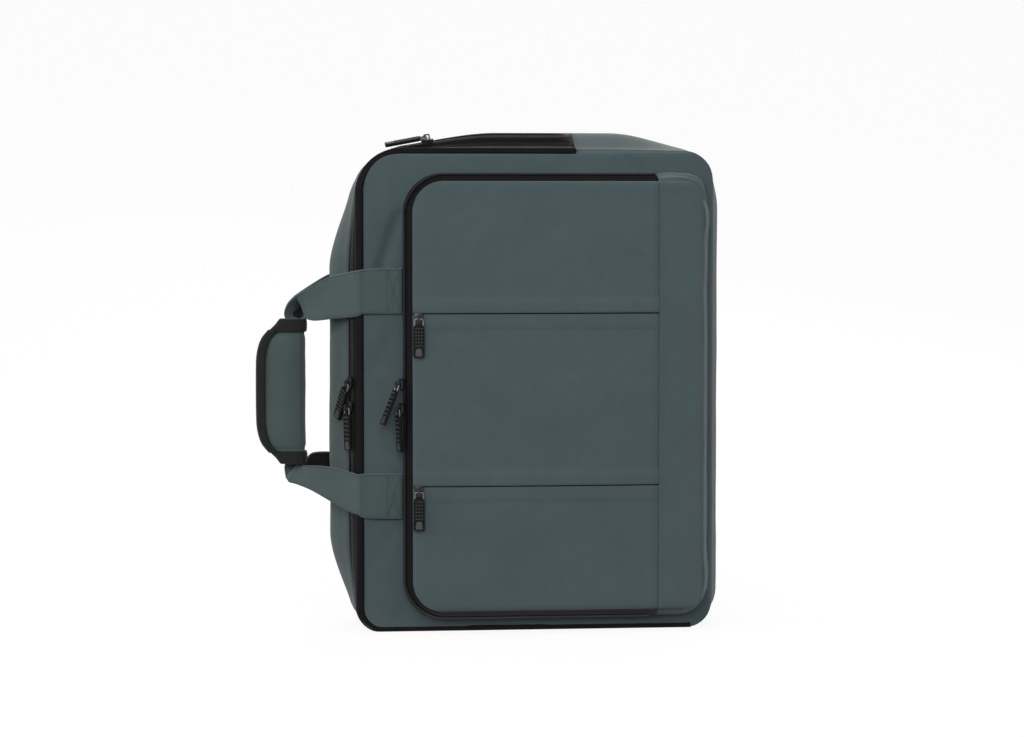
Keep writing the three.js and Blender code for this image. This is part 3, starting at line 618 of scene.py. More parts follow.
def top_tape_lift(run, depth):
    """Two guards that stand up beside the chain of the top zip, and flatten at its sewn ends."""
    sewn = smooth(0, 14, run - TOP_CUT_RUN) * smooth(0, 14, TOP_STRIP_END - run)
    away = abs(depth - TOP_COIL_DEPTH)
    return ridge(away - 5.4, 1.9 * sewn, 2.0) - ridge(away, 0.6, 2.4)


def make_top_band():
    depths = spread(MAIN_ZIP + SEAM, MAIN_ZIP + TOP_ZIP, 26)
    rows = [[body_point(run, depth, top_tape_lift(run, depth)) for depth in depths]
            for run in BODY.runs(TOP_CUT_RUN + 2 * SEAM, TOP_STRIP_END - 2 * SEAM, BAND_STEP)]
    obj = grid_object("top_zip_band", rows, ZIP_TAPE, away_from(BODY_MIDDLE))
    seat(thicken(obj, CLOTH), "zip_tape", "top_zip_tape")


make_side_wall()
make_main_band()
make_top_band()


# Front and back panels


def corner_inset(from_edge, radius):
    within = radius - max(0.0, from_edge)
    return radius - math.sqrt(radius * radius - within * within) if within > 0 else 0.0


def edge_distance(x, z, box):
    return min(x - box["left"], box["right"] - x, z - box["low"], box["high"] - z)


def roll(distance, height, width):
    share = clamp01(distance / width)
    return height * math.sqrt(1 - (1 - share) ** 2)


def crowded(length, near, step):
    """Places along a length: finely spaced over the first and last stretch, then in even steps."""
    curve = [near * (1 - math.cos(math.pi / 2 * i / 12)) for i in range(13)]
    inside = spread(near, length - near, max(2, round((length - 2 * near) / step)))
    return curve[:-1] + inside + [length - place for place in reversed(curve[:-1])]


def panel_rows(box, corners, surface, step=4.0, near=40.0, side_near=8.0):
    rows = []
    for down in crowded(box["high"] - box["low"], min(near, (box["high"] - box["low"]) / 3), step):
        z = box["high"] - down
        up = z - box["low"]
        start = box["left"] + max(corner_inset(down, corners["top_left"]),
                                  corner_inset(up, corners["bottom_left"]))
        end = box["right"] - max(corner_inset(down, corners["top_right"]),
                                 corner_inset(up, corners["bottom_right"]))
        places = crowded(box["right"] - box["left"], side_near, step)
        width = box["right"] - box["left"]
        xs = [mix(start, end, place / width) for place in places]
        rows.append([Vector((x, surface(x, z), z)) for x in xs])
    return rows


BODY_PANEL = {"left": LEFT, "right": RIGHT, "low": 0.0, "high": BODY_HEIGHT}
# Creases of the front: from one point to another in millimetres, with their width and depth
FRONT_CREASES = [
    {"start": (-122, 376), "end": (-142, 318), "width": 5.0, "depth": 3.6},
    {"start": (-150, 398), "end": (-128, 376), "width": 7.0, "depth": 1.3},
    {"start": (-128, 270), "end": (-146, 236), "width": 6.0, "depth": 0.8},
    {"start": (-126, 96), "end": (-146, 60), "width": 7.0, "depth": 1.0},
    {"start": (80, 427), "end": (94, 412), "width": 3.5, "depth": 1.6},
    {"start": (20, 424), "end": (46, 414), "width": 5.0, "depth": 0.8},
    {"start": (-60, 6), "end": (10, 9), "width": 4.0, "depth": 0.8},
]


def creases(x, z, table):
    total = 0.0
    for crease in table:
        (x0, z0), (x1, z1) = crease["start"], crease["end"]
        length = math.hypot(x1 - x0, z1 - z0)
        along = ((x - x0) * (x1 - x0) + (z - z0) * (z1 - z0)) / length
        aside = ((x - x0) * (z1 - z0) - (z - z0) * (x1 - x0)) / length
        ends = smooth(-crease["width"], crease["width"], along) * (
            1 - smooth(length - crease["width"], length + crease["width"], along))
        total += ends * ridge(aside, crease["depth"], crease["width"])
    return total


def front_surface(x, z):
    edge = edge_distance(x, z, BODY_PANEL)
    wave = cloth_wave(Vector((x, 0, z)), 5, 1.1) * smooth(2, 16, edge)
    rolled = roll(edge, PANEL_ROLL, PANEL_ROLL_WIDTH)
    return FRONT_PLANE - rolled + creases(x, z, FRONT_CREASES) + max(-0.2, wave)


def back_surface(x, z):
    edge = edge_distance(x, z, BODY_PANEL)
    wave = cloth_wave(Vector((x, 40, z)), 8, 1.6) * smooth(4, 30, edge)
    return BACK_PLANE + roll(edge, PANEL_ROLL, PANEL_ROLL_WIDTH) + wave


for panel, surface, facing in (("front", front_surface, -1), ("back", back_surface, 1)):
    sheet = grid_object(f"{panel}_cloth", panel_rows(BODY_PANEL, CORNERS, surface), FACE_CLOTH,
                        Vector((0, facing, 0)))
    seat(thicken(sheet, CLOTH, LINING), "cloth", f"{panel}_panel")


# Raised front compartment: its side wall

POCKET_OUTLINE = Outline(POCKET, POCKET_CORNERS)
POCKET_TOP_RUN = POCKET_OUTLINE.run_at_top(BAND_SEAM)
POCKET_BASE_RUN = POCKET_OUTLINE.run_at_base(BAND_SEAM)
POCKET_DEPTH = POCKET_FOOT - POCKET_RIM


def pocket_point(run, share, lift=0.0):
    x, z, nx, nz = POCKET_OUTLINE.at(run)
    lean_x = POCKET_LEAN["left" if nx < 0 else "right"]
    lean_z = POCKET_LEAN["low" if nz < 0 else "high"]
    out = POCKET_BULGE * math.sin(share * math.pi) - (abs(nx) * lean_x + abs(nz) * lean_z) * share + lift
    return Vector((x + nx * out, mix(POCKET_FOOT, POCKET_RIM, share), z + nz * out))


def pocket_tape_lift(along, share, run):
    """A raised guard on each side of the chain."""
    away = abs(share - 0.5) * POCKET_DEPTH
    return ridge(away - 6.0, 0.9, 2.4) - ridge(away, 0.5, 2.4)


def make_pocket_strip(name, start, end, step, shares, material, slot, node, lift):
    rows = []
    for run in POCKET_OUTLINE.runs(start, end, step):
        along = (run - start) / (end - start)
        row = [pocket_point(run, share, lift(along, share, run)) for share in shares]
        if material is SIDE_CLOTH:
            row.append(pocket_point(run, 1 + TURNED_IN["on"] / POCKET_DEPTH, -TURNED_IN["under"]))
        rows.append(row)
    centre = Vector(((POCKET["left"] + POCKET["right"]) / 2, POCKET_FOOT, BODY_HEIGHT / 2))
    obj = grid_object(name, rows, material, away_from(centre))
    thicken(obj, CLOTH, LINING if material is SIDE_CLOTH else None)
    return seat(obj, slot, node)


make_pocket_strip("pocket_zip_band", POCKET_TOP_RUN + SEAM, POCKET_BASE_RUN - SEAM, BAND_STEP,
                  spread(0, 1, 22), ZIP_TAPE, "zip_tape", "pocket_zip_tape", pocket_tape_lift)

# Folds that run round the green part of the wall, and their heights, widest where the cloth is slack
WALL_FOLDS = [
    {"at": 0.03, "reach": 0.03, "height": 1.4},
    {"at": 0.085, "reach": 0.022, "height": 2.9},
    {"at": 0.124, "reach": 0.016, "height": -1.8},
    {"at": 0.165, "reach": 0.025, "height": 1.3},
    {"at": 0.30, "reach": 0.03, "height": -0.6},
    {"at": 0.84, "reach": 0.03, "height": 1.4},
    {"at": 0.91, "reach": 0.03, "height": -1.2},
]


def slack_wall_lift(along, share, run):
    """along runs from the base of the band, up the right side and to the top of the band."""
    from_top = 1 - along
    folds = sum(ridge(from_top - f["at"], f["height"], f["reach"]) for f in WALL_FOLDS)
    crumple = 1.3 * ripple(run, share * 40, 0, 16, 11) + 0.7 * ripple(run, share * 30, 5, 7, 12)
    slack = 0.25 + ridge(from_top - 0.09, 0.75, 0.07)
    rolled = 1.6 * smooth(0.72, 0.9, share) * (1 - smooth(0.93, 1.0, share))
    valley = ridge(share - 0.62, -1.4, 0.10)
    free = smooth(0, 0.12, share) * (1 - smooth(0.95, 1.0, share))
    return (folds + crumple * slack) * free + (rolled + valley) * slack - 1.3 * smooth(0.955, 1.0, share)


make_pocket_strip("slack_green_wall", POCKET_BASE_RUN + SEAM, POCKET_TOP_RUN - SEAM + POCKET_OUTLINE.total,
                  1.8, spread(0, 1, 26), SIDE_CLOTH, "side_cloth", "pocket_wall", slack_wall_lift)


# Face of the compartment: three cloth parts on the left, an upright band on the right, two zipped mouths

FACE_CREASES = [
    {"start": (-96, 398), "end": (-70, 372), "width": 6.0, "depth": 0.7},
    {"start": (20, 398), "end": (44, 352), "width": 8.0, "depth": 0.5},
    {"start": (118, 396), "end": (138, 372), "width": 6.0, "depth": 0.7},
    {"start": (-96, 268), "end": (-40, 262), "width": 5.0, "depth": 0.5},
    {"start": (-104, 60), "end": (-78, 34), "width": 7.0, "depth": 0.8},
    {"start": (-60, 250), "end": (20, 225), "width": 16.0, "depth": 0.6},
    {"start": (-90, 100), "end": (-10, 60), "width": 18.0, "depth": 0.7},
    {"start": (60, 390), "end": (98, 345), "width": 14.0, "depth": 0.7},
]


def face_base(x, z):
    across = 1 - (2 * (x - FACE["left"]) / (FACE["right"] - FACE["left"]) - 1) ** 2
    up = 1 - (2 * (z - FACE["low"]) / (FACE["high"] - FACE["low"]) - 1) ** 2
    return POCKET_RIM - SEAM - FACE_WALL - FACE_CROWN * across * up


def stitched(distance, depth=0.35, width=1.1):
    """The groove that a row of stitches pulls into cloth."""
    return ridge(distance, depth, width)


# How far a flap hangs over the mouth, and how far the cloth below stands up behind it
FLAP_OVERHANG = 1.6
UPPER_FLAP = {"low": UPPER_MOUTH - FLAP_OVERHANG, "stitch": 12.5}
LOWER_FLAP = {"low": LOWER_MOUTH - FLAP_OVERHANG, "stitch": 13.0}
UNDER_STITCH = 13.0


def face_cloth_surface(box, flap=None, under=None, band=False):
    """Surface of one part: its rolled edges, the flap's lip and the stitched lines near the mouths."""
    def surface(x, z):
        inner = edge_distance(x, z, box)
        y = face_base(x, z)
        y -= roll(edge_distance(x, z, FACE), FACE_WALL, PANEL_ROLL_WIDTH)
        wave = cloth_wave(Vector((x, -75, z)), 14, 1.0) * smooth(2, 20, inner)
        y += max(-0.9, min(0.9, wave)) + creases(x, z, FACE_CREASES) * smooth(0, 12, inner)
        if flap is not None:
            up = z - flap["low"]
            y -= 1.3 * (1 - smooth(flap["stitch"] - 3, flap["stitch"] + 2, up)) * smooth(-2.0, 1.6, up)
            y += stitched(up - flap["stitch"])
        if under is not None:
            below = under - z
            y += stitched(below - UNDER_STITCH)
            y -= 0.35 * (1 - smooth(UNDER_STITCH - 2, UNDER_STITCH + 1, below))
        if not band:
            y -= ridge(x - (box["right"] - 6.5), 0.9, 2.6) * (0.6 + 0.4 * ripple(x, 0, z, 30, 21))
            y += 0.5 * smooth(box["right"] - 4, box["right"], x)
        else:
            y -= 0.5 * (1 - smooth(box["left"] + 1, box["left"] + 5, x))
        return y
    return surface


SQUARE = {"top_left": 0.0, "bottom_left": 0.0, "bottom_right": 0.0, "top_right": 0.0}
LEFT_CORNER = POCKET_CORNERS["top_left"] - POCKET_LEAN["left"]
BAND_CORNER = POCKET_CORNERS["top_right"] - POCKET_LEAN["right"]
UPPER_ZIP_LOW = UPPER_MOUTH - MOUTH - SEAM
LOWER_ZIP_LOW = LOWER_MOUTH - MOUTH - SEAM
FACE_SURFACES = {}


def make_face(name, box, corners, node, **surface_options):
    surface = face_cloth_surface(box, **surface_options)
    FACE_SURFACES[node] = surface
    rows = panel_rows(box, corners, surface, step=2.2, near=22.0, side_near=9.0)
    obj = grid_object(name, rows, FACE_CLOTH, Vector((0, -1, 0)))
    return seat(thicken(obj, CLOTH, LINING), "cloth", node)


LEFT_PARTS = {"left": FACE["left"], "right": BAND_SEAM}
make_face("face_cloth_top", {**LEFT_PARTS, "low": UPPER_FLAP["low"], "high": FACE["high"]},
          {**SQUARE, "top_left": LEFT_CORNER}, "face_top", flap=UPPER_FLAP)
make_face("face_cloth_middle",
          {**LEFT_PARTS, "low": LOWER_FLAP["low"], "high": UPPER_ZIP_LOW + FLAP_OVERHANG},
          SQUARE, "face_middle", flap=LOWER_FLAP, under=UPPER_ZIP_LOW + FLAP_OVERHANG)
make_face("face_cloth_bottom", {**LEFT_PARTS, "low": FACE["low"], "high": LOWER_ZIP_LOW + FLAP_OVERHANG},
          {**SQUARE, "bottom_left": LEFT_CORNER}, "face_bottom", under=LOWER_ZIP_LOW + FLAP_OVERHANG)
make_face("face_cloth_band", {**FACE, "left": BAND_SEAM + SEAM},
          {**SQUARE, "top_right": BAND_CORNER, "bottom_right": BAND_CORNER}, "face_side", band=True)


def make_mouth_zip(name, low, node):
    """A flat black chain in the mouth of a pocket, half under the flap."""
    rows = []
    for z in spread(low + MOUTH + 0.2, low - 0.2, 5):
        sunk = ridge(z - low - MOUTH / 2, 0.5, 1.0)
        rows.append([Vector((x, face_base(x, z) - 1.0 + sunk, z))
                     for x in spread(FACE["left"] + 1, BAND_SEAM, 70)])
    obj = grid_object(name, rows, ZIP_TAPE, Vector((0, -1, 0)))
    return seat(thicken(obj, CLOTH), "zip_tape", node)


make_mouth_zip("upper_mouth_zip", UPPER_ZIP_LOW, "pocket_zip_upper")
make_mouth_zip("lower_mouth_zip", LOWER_ZIP_LOW, "pocket_zip_lower")


# Small pieces repeated along a path, by Geometry Nodes


def make_bead_tree():
    """Puts a rounded bead on each point. Two vector attributes turn it: lay is its length, out its top."""
    tree = bpy.data.node_groups.new("beads_on_points", "GeometryNodeTree")
    for label, kind in (("Geometry", "Geometry"), ("Size", "Vector"), ("Material", "Material")):
        tree.interface.new_socket(label, in_out="INPUT", socket_type=f"NodeSocket{kind}")
    tree.interface.new_socket("Geometry", in_out="OUTPUT", socket_type="NodeSocketGeometry")
    start, end = tree.nodes.new("NodeGroupInput"), tree.nodes.new("NodeGroupOutput")
    bead = add_node(tree, "GeometryNodeMeshUVSphere", values={"Segments": 6, "Rings": 5, "Radius": 0.5})
    shaped = add_node(tree, "GeometryNodeTransform",
                      {"Geometry": bead.outputs["Mesh"], "Scale": start.outputs["Size"]})
    turned = None
    for label, axis, pivot in (("out", "Z", "AUTO"), ("lay", "X", "Z")):
        attribute = add_node(tree, "GeometryNodeInputNamedAttribute", values={"Name": label},
                             data_type="FLOAT_VECTOR")
        align = add_node(tree, "FunctionNodeAlignRotationToVector", axis=axis, pivot_axis=pivot)
        socket = next(o for o in attribute.outputs if o.enabled and o.name == "Attribute")
        tree.links.new(socket, align.inputs["Vector"])
        if turned is not None:
            tree.links.new(turned, align.inputs["Rotation"])
        turned = align.outputs["Rotation"]
    placed = add_node(tree, "GeometryNodeInstanceOnPoints",
                      {"Points": start.outputs["Geometry"], "Instance": shaped.outputs["Geometry"],
                       "Rotation": turned})
    real = add_node(tree, "GeometryNodeRealizeInstances", {"Geometry": placed.outputs["Instances"]})
    soft = add_node(tree, "GeometryNodeSetShadeSmooth", {"Geometry": real.outputs["Geometry"]})
    finish = add_node(tree, "GeometryNodeSetMaterial",
                      {"Geometry": soft.outputs["Geometry"], "Material": start.outputs["Material"]})
    tree.links.new(finish.outputs["Geometry"], end.inputs["Geometry"])
    return tree


BEADS = make_bead_tree()


def repeat_beads(name, stations, size, material, slot, *nodes):
    """A plain mesh of beads of the given size in millimetres, one at each (place, lay, out)."""
    mesh = bpy.data.meshes.new(name + "_points")
    mesh.from_pydata([place * MM for place, lay, out in stations], [], [])
    for label, index in (("lay", 1), ("out", 2)):
        attribute = mesh.attributes.new(label, "FLOAT_VECTOR", "POINT")
        attribute.data.foreach_set("vector", [value for station in stations for value in station[index]])
    points = add_object(name + "_points", mesh)
    modifier = points.modifiers.new("beads", "NODES")
    modifier.node_group = BEADS
    sockets = {item.name: item.identifier for item in BEADS.interface.items_tree if item.in_out == "INPUT"}
    modifier[sockets["Size"]] = tuple(value * MM for value in size)
    modifier[sockets["Material"]] = material
    bpy.context.view_layer.update()
    evaluated = points.evaluated_get(bpy.context.evaluated_depsgraph_get())
    obj = add_object(name, bpy.data.meshes.new_from_object(evaluated))
    bpy.data.objects.remove(points)
    return seat(obj, slot, *nodes)


def even_places(points, pitch):
    """Places a pitch apart along a line of points, each with the line's direction there."""
    lengths = polyline_lengths(points)
    count = max(1, int(lengths[-1] / pitch))
    places, k = [], 0
    for i in range(count):
        wanted = lengths[-1] * (i + 0.5) / count
        while lengths[k + 1] < wanted:
            k += 1
        share = (wanted - lengths[k]) / (lengths[k + 1] - lengths[k])
        places.append((points[k].lerp(points[k + 1], share), (points[k + 1] - points[k]).normalized()))
    return places


# Chains of the zips: two rows of teeth that lock in the middle


TOOTH_ASIDE = 1.15    # from the chain's middle


def chain(point_at, start, end, middle):
    """point_at(run, aside) is a place on the chain's bed, aside millimetres across from its middle."""
    stations = []
    for i in range(int((end - start) / TOOTH_PITCH)):
        for side, shift in ((-1, 0.0), (1, 0.5)):
            run = start + TOOTH_PITCH * (i + shift)
            here = point_at(run, side * TOOTH_ASIDE)
            across = (point_at(run, side * TOOTH_ASIDE + 1) - here).normalized()
            out = (point_at(run + 1, side * TOOTH_ASIDE) - here).cross(across).normalized()
            if out.dot(here - middle) < 0:
                out.negate()
            stations.append((here, across, out))
    return stations


TOOTH_SIZE = (3.3, 1.25, 1.6)
TOOTH_LIFT = 0.9
COIL_END = 3.0
MAIN_COIL_END = BODY.run_at_height(CORNERS["bottom_left"]) + CORNERS["bottom_left"] * 0.9
repeat_beads("main_teeth", chain(lambda run, aside: body_point(run, MAIN_COIL_DEPTH + aside, TOOTH_LIFT),
                                 TOP_CUT_RUN + COIL_END, MAIN_COIL_END, BODY_MIDDLE),
             TOOTH_SIZE, COIL, "zip_coil", "main_zip_coil")
repeat_beads("top_teeth", chain(lambda run, aside: body_point(run, TOP_COIL_DEPTH + aside, TOOTH_LIFT),
                                TOP_CUT_RUN + COIL_END, TOP_STRIP_END - COIL_END, BODY_MIDDLE),
             TOOTH_SIZE, COIL, "zip_coil", "top_zip_coil")
repeat_beads("pocket_teeth", chain(lambda run, aside: pocket_point(run, 0.5 + aside / POCKET_DEPTH,
                                                                   TOOTH_LIFT),
                                   POCKET_TOP_RUN + COIL_END, POCKET_BASE_RUN - COIL_END, BODY_MIDDLE),
             TOOTH_SIZE, COIL, "zip_coil", "pocket_zip_coil")


# Carry straps

STRAP_OUTER = GRIP_RIGHT - 16.0
STRAP_INNER = GRIP_RIGHT - 6.5
STRAP_GRIP_Y = -STRAP_WALL - 0.25
SEWN_EDGE = LEFT + PANEL_ROLL_WIDTH + 1
# Places along a strap from the body's edge to the wrap. across and rise are the outer edge's shares of
# the way out and up, inner_across and inner_rise the inner edge's, back is the share of the way to the
# middle of the bag's depth, belly how far the middle of the width is pushed backwards, and tuck how far
# it is pushed in under the part of the strap that comes from the body.
UPPER_STRAP = [
    (0.0, 0.96, 0.0, 0.08, 0.0, 0.0, 0.0),
    (0.11, 0.93, 0.12, 0.05, 0.13, 0.0, 0.0),
    (0.25, 0.88, 0.29, 0.03, 0.3, 0.2, 0.0),
    (0.4, 0.83, 0.5, 0.0, 0.46, 0.8, 0.0),
    (0.62, 0.67, 0.72, -0.03, 0.64, 1.6, 0.0),
    (0.78, 0.54, 0.83, -0.02, 0.79, 2.0, 0.0),
    (0.86, 0.47, 0.87, 0.0, 0.86, 3.0, 0.0),
    (0.91, 0.42, 0.875, 0.0, 0.9, 15.0, 3.5),
    (1.0, 0.29, 0.88, 0.0, 0.96, 19.0, 6.0),
    (1.05, 0.1, 0.88, -0.03, 1.0, 9.0, 2.0),
]
LOWER_STRAP = [
    (0.0, 0.92, 0.0, 0.13, 0.0, 0.0, 0.0),
    (0.11, 0.88, 0.12, 0.1, 0.13, 0.0, 0.0),
    (0.25, 0.8, 0.3, 0.05, 0.3, 0.2, 0.0),
    (0.44, 0.66, 0.55, 0.01, 0.48, 0.6, 0.0),
    (0.68, 0.49, 0.78, 0.01, 0.68, 0.8, 0.0),
    (0.88, 0.39, 0.9, 0.02, 0.86, 1.0, 0.0),
    (1.01, 0.33, 0.91, 0.0, 0.95, 1.4, 0.0),
    (1.05, 0.1, 0.91, -0.03, 1.0, 1.2, 0.0),
]
STRAP_SHARES = [0.0, 0.012, 0.03, 0.045, 0.06, 0.09, 0.14, 0.2, 0.28, 0.36, 0.44]
STRAP_SHARES += [0.5] + [1 - share for share in reversed(STRAP_SHARES)]
STRAP_STITCH = 2.2
# The lower strap is folded back along this line below the wrap: the part to the left lies deeper
FOLD = {"start": (-221.5, 134.5), "end": (-208.8, 152.5), "depth": 9.5, "width": 2.2}
BACK_LIFT = 9.0     # how much higher the back strap's inner edge runs at the lower anchor


def strap_row(row, grip_end, far_edge, side, lower):
    across, rise, inner_across, inner_rise, back, belly, tuck = row
    y = mix(STRAP_FACE, STRAP_GRIP_Y, back)
    inner_z = mix(grip_end, far_edge, inner_rise)
    if side > 0 and lower:
        inner_z += BACK_LIFT * smooth(0.0, 0.15, across) * (1 - smooth(0.62, 0.92, across))
    return [mix(LEFT, STRAP_OUTER, across), y, mix(grip_end, far_edge, rise),
            mix(LEFT, STRAP_INNER, inner_across), y, inner_z, belly, tuck]


def strap_lines(side):
    """Rows of numbers along a strap: its outer edge, its inner edge, its belly and its tuck."""
    def sewn(x, outer_z, inner_z):
        return [x, STRAP_FACE, outer_z, x, STRAP_FACE, inner_z, 0.0, 0.0]
    rows = [sewn(STRAP_START, ANCHOR_TOP, ANCHOR_TOP - STRAP_WIDTH),
            sewn((STRAP_START + SEWN_EDGE) / 2, ANCHOR_TOP, ANCHOR_TOP - STRAP_WIDTH),
            sewn(SEWN_EDGE, ANCHOR_TOP - 1, ANCHOR_TOP - STRAP_WIDTH)]
    rows += [strap_row(row, GRIP_TOP, ANCHOR_TOP, side, False) for row in UPPER_STRAP]
    rows += [[STRAP_OUTER - 1, STRAP_GRIP_Y, z, STRAP_INNER + 3, STRAP_GRIP_Y, z, side * 1.2, 0.0]
             for z in spread(GRIP_TOP - 6, GRIP_BASE + 6, 4)]
    rows += [strap_row(row, GRIP_BASE, ANCHOR_BASE, side, True) for row in reversed(LOWER_STRAP)]
    rows += [sewn(SEWN_EDGE, ANCHOR_BASE + 1, ANCHOR_BASE + STRAP_WIDTH),
             sewn((STRAP_START + SEWN_EDGE) / 2, ANCHOR_BASE, ANCHOR_BASE + STRAP_WIDTH),
             sewn(STRAP_START, ANCHOR_BASE, ANCHOR_BASE + STRAP_WIDTH)]
    return cubic_rows(rows, 9)


def grid_normals(rows, towards):
    """The direction off the sheet at each point, on the side that towards(point) names."""
    normals = []
    for i, row in enumerate(rows):
        line = []
        for k, p in enumerate(row):
            along = rows[min(i + 1, len(rows) - 1)][k] - rows[max(i - 1, 0)][k]
            across = row[min(k + 1, len(row) - 1)] - row[max(k - 1, 0)]
            normal = along.cross(across).normalized()
            line.append(normal if normal.dot(towards(p)) > 0 else -normal)
        normals.append(line)
    return normals


def folded_back(point):
    (x0, z0), (x1, z1) = FOLD["start"], FOLD["end"]
    along = Vector((x1 - x0, z1 - z0)).normalized()
    aside = (point.z - z0) * along.x - (point.x - x0) * along.y
    return FOLD["depth"] * smooth(-0.3 * FOLD["width"], 0.7 * FOLD["width"], aside)


def make_strap(side, node):
    base = []
    for ox, oy, oz, ix, iy, iz, belly, tuck in strap_lines(side):
        outer, inner = Vector((ox, -side * oy, oz)), Vector((ix, -side * iy, iz))
        row = []
        for share in STRAP_SHARES:
            point = outer.lerp(inner, share)
            middle = smooth(0.02, 0.42, share) * (1 - smooth(0.6, 0.96, share))
            # The back strap's belly goes less far back than the front strap's, so where the upper strap's
            # belly is deepest the back strap's black lining comes in front of the front strap: a dark sheet
            # that stands in for painted shade in the hollow.
            point.y += belly * middle * (1.0 if side < 0 else 0.55)
            point.x += tuck * middle
            if outer.z < GRIP_BASE:
                point.y += folded_back(point)
            row.append(point)
        base.append(row)
    normals = grid_normals(base, lambda p: Vector((-0.2, side, 0)))
    rows = []
    for row, line in zip(base, normals):
        width = (row[-1] - row[0]).length
        lifted = []
        for share, point, normal in zip(STRAP_SHARES, row, line):
            edge = width * min(share, 1 - share)
            lift = roll(edge, 0.9, 1.6) - stitched(edge - STRAP_STITCH, 0.3, 0.6) - 0.6
            lift += 0.35 * ripple(point.x, point.y, point.z, 26, 31) * smooth(0, 8, edge)
            lifted.append(point + normal * lift)
        rows.append(lifted)
    name = "carry_strap_front" if side < 0 else "carry_strap_back"
    obj = grid_object(name, rows, STRAP_CLOTH, lambda p: normals[len(normals) // 2][0])
    seat(thicken(obj, STRAP_WALL - 0.4, LINING), "webbing", node)
    stations = []
    for column in (3, len(STRAP_SHARES) - 4):
        line = [row[column] + normal[column] * 0.1 for row, normal in zip(rows, normals)]
        outs = [normal[column] for normal in normals]
        for place, lay in even_places(line, STITCH_PITCH):
            nearest = min(range(len(line)), key=lambda j: (line[j] - place).length_squared)
            if not GRIP_BASE - 1 < place.z < GRIP_TOP + 1:
                stations.append((place, lay, outs[nearest]))
    return stations + box_stitches(side)


def box_stitches(side):
    """A sewn box with a cross at each anchor."""
    face = Vector((0, side, 0))
    y = -side * (STRAP_FACE - 0.45)
    stations = []
    for low in (ANCHOR_BASE + STRAP_STITCH, ANCHOR_TOP - STRAP_WIDTH + STRAP_STITCH):
        high = low + STRAP_WIDTH - 2 * STRAP_STITCH
        near, far = STRAP_START - 2.0, STRAP_START - 13.5
        lines = [((near, low), (near, high)), ((far, low), (far, high)),
                 ((near, low), (far, high)), ((far, low), (near, high))]
        for (x0, z0), (x1, z1) in lines:
            for place, lay in even_places([Vector((x0, y, z0)), Vector((x1, y, z1))], STITCH_PITCH):
                stations.append((place, lay, face))
    return stations


strap_stitches = make_strap(-1, "strap_front") + make_strap(1, "strap_back")
repeat_beads("strap_stitches", strap_stitches, STITCH_SIZE, SHADE_THREAD, "webbing")


# Padded wrap of the grip, folded round both straps: the fold faces the body, the bound edges face away

WRAP_LEG = [(1.0, 0.0), (0.8, 0.42), (0.6, 0.78), (0.4, 1.0), (0.22, 0.93), (0.08, 0.62)]
BOUND_EDGE = GRIP_WALL + 0.7
# Share of the wrap's length, and the shares of its full width and thickness that it has there
WRAP_ALONG = [
    (0.0, 0.52, 0.82), (0.04, 0.6, 0.86), (0.09, 0.76, 0.9), (0.15, 0.9, 0.95), (0.24, 0.98, 1.0),
    (0.36, 1.0, 1.0), (0.64, 1.0, 1.0), (0.76, 0.98, 1.0), (0.85, 0.9, 0.95), (0.91, 0.76, 0.9),
    (0.96, 0.6, 0.86), (1.0, 0.52, 0.82),
]
BINDING_WIDTH = 5.6
BINDING_WALL = 1.1
# The binding's channel: how far it stands off the wrap's sides and past its edge, and the share of its
# width that bends round the edge
CHANNEL = {"proud": 1.5, "nose": 1.7, "bend": 0.45}
CUFF_SHARE = CUFF / (GRIP_TOP - GRIP_BASE)
WRAP_CURVE = cubic_rows(WRAP_ALONG, 6)


def wrap_size(along):
    """Width and half thickness of the wrap, smoothly between the table's places."""
    after = next(i for i in range(1, len(WRAP_CURVE)) if WRAP_CURVE[i][0] >= along - 1e-9)
    before = WRAP_CURVE[after - 1]
    share = (along - before[0]) / (WRAP_CURVE[after][0] - before[0])
    return (GRIP_WIDTH * mix(before[1], WRAP_CURVE[after][1], share),
            GRIP_THICKNESS / 2 * mix(before[2], WRAP_CURVE[after][2], share))


def wrap_section(along, steps=4):
    """Points from the front bound edge round the fold to the back bound edge, at one height."""
    width, half = wrap_size(along)
    z = mix(GRIP_TOP, GRIP_BASE, along)
    leg = [(GRIP_RIGHT - width * reach, mix(BOUND_EDGE, half, fat)) for reach, fat in WRAP_LEG]
    corners = [[x, -y] for x, y in leg] + [[GRIP_RIGHT, 0.0]] + [[x, y] for x, y in reversed(leg)]
    return [Vector((x, y, z)) for x, y in cubic_rows(corners, steps)]


def section_outs(points, closed=False):
    """Level outward directions of a section that runs with its inside on the left seen from above."""
    outs = []
    last = len(points) - 1
    for i in range(len(points)):
        before = points[i - 1] if i > 0 or closed else points[0]
        after = points[(i + 1) % len(points)] if i < last or closed else points[last]
        along = (after - before).normalized()
        outs.append(Vector((along.y, -along.x, 0)))
    return outs


def make_wrap():
    rows = []
    for along in spread(0.0, 1.0, 90):
        section = wrap_section(along)
        outs = section_outs(section)
        row = []
        for point, out in zip(section, outs):
            puff = 0.5 * ripple(*point, 34, 41) + 0.2 * ripple(*point, 11, 42)
            near_end = min(along, 1 - along) / CUFF_SHARE
            pinch = ridge(near_end - 1.1, -0.9, 0.25)
            row.append(point + out * (puff * smooth(0.9, 1.6, near_end) + pinch))
        rows.append(row)
    middle = Vector((GRIP_RIGHT - GRIP_WIDTH / 2, 0, (GRIP_TOP + GRIP_BASE) / 2))
    obj = grid_object("grip_pad", rows, SIDE_CLOTH, lambda p: Vector((p.x - middle.x, p.y, 0)))
    thicken(obj, GRIP_WALL - 0.8, LINING)
    return seat(obj, "cloth", "grip_wrap")


def place_along(points, distance):
    """The place at a distance along a line of points from its first."""
    lengths = polyline_lengths(points)
    k = next(i for i in range(len(lengths) - 1) if lengths[i + 1] >= distance)
    return points[k].lerp(points[k + 1], (distance - lengths[k]) / (lengths[k + 1] - lengths[k]))


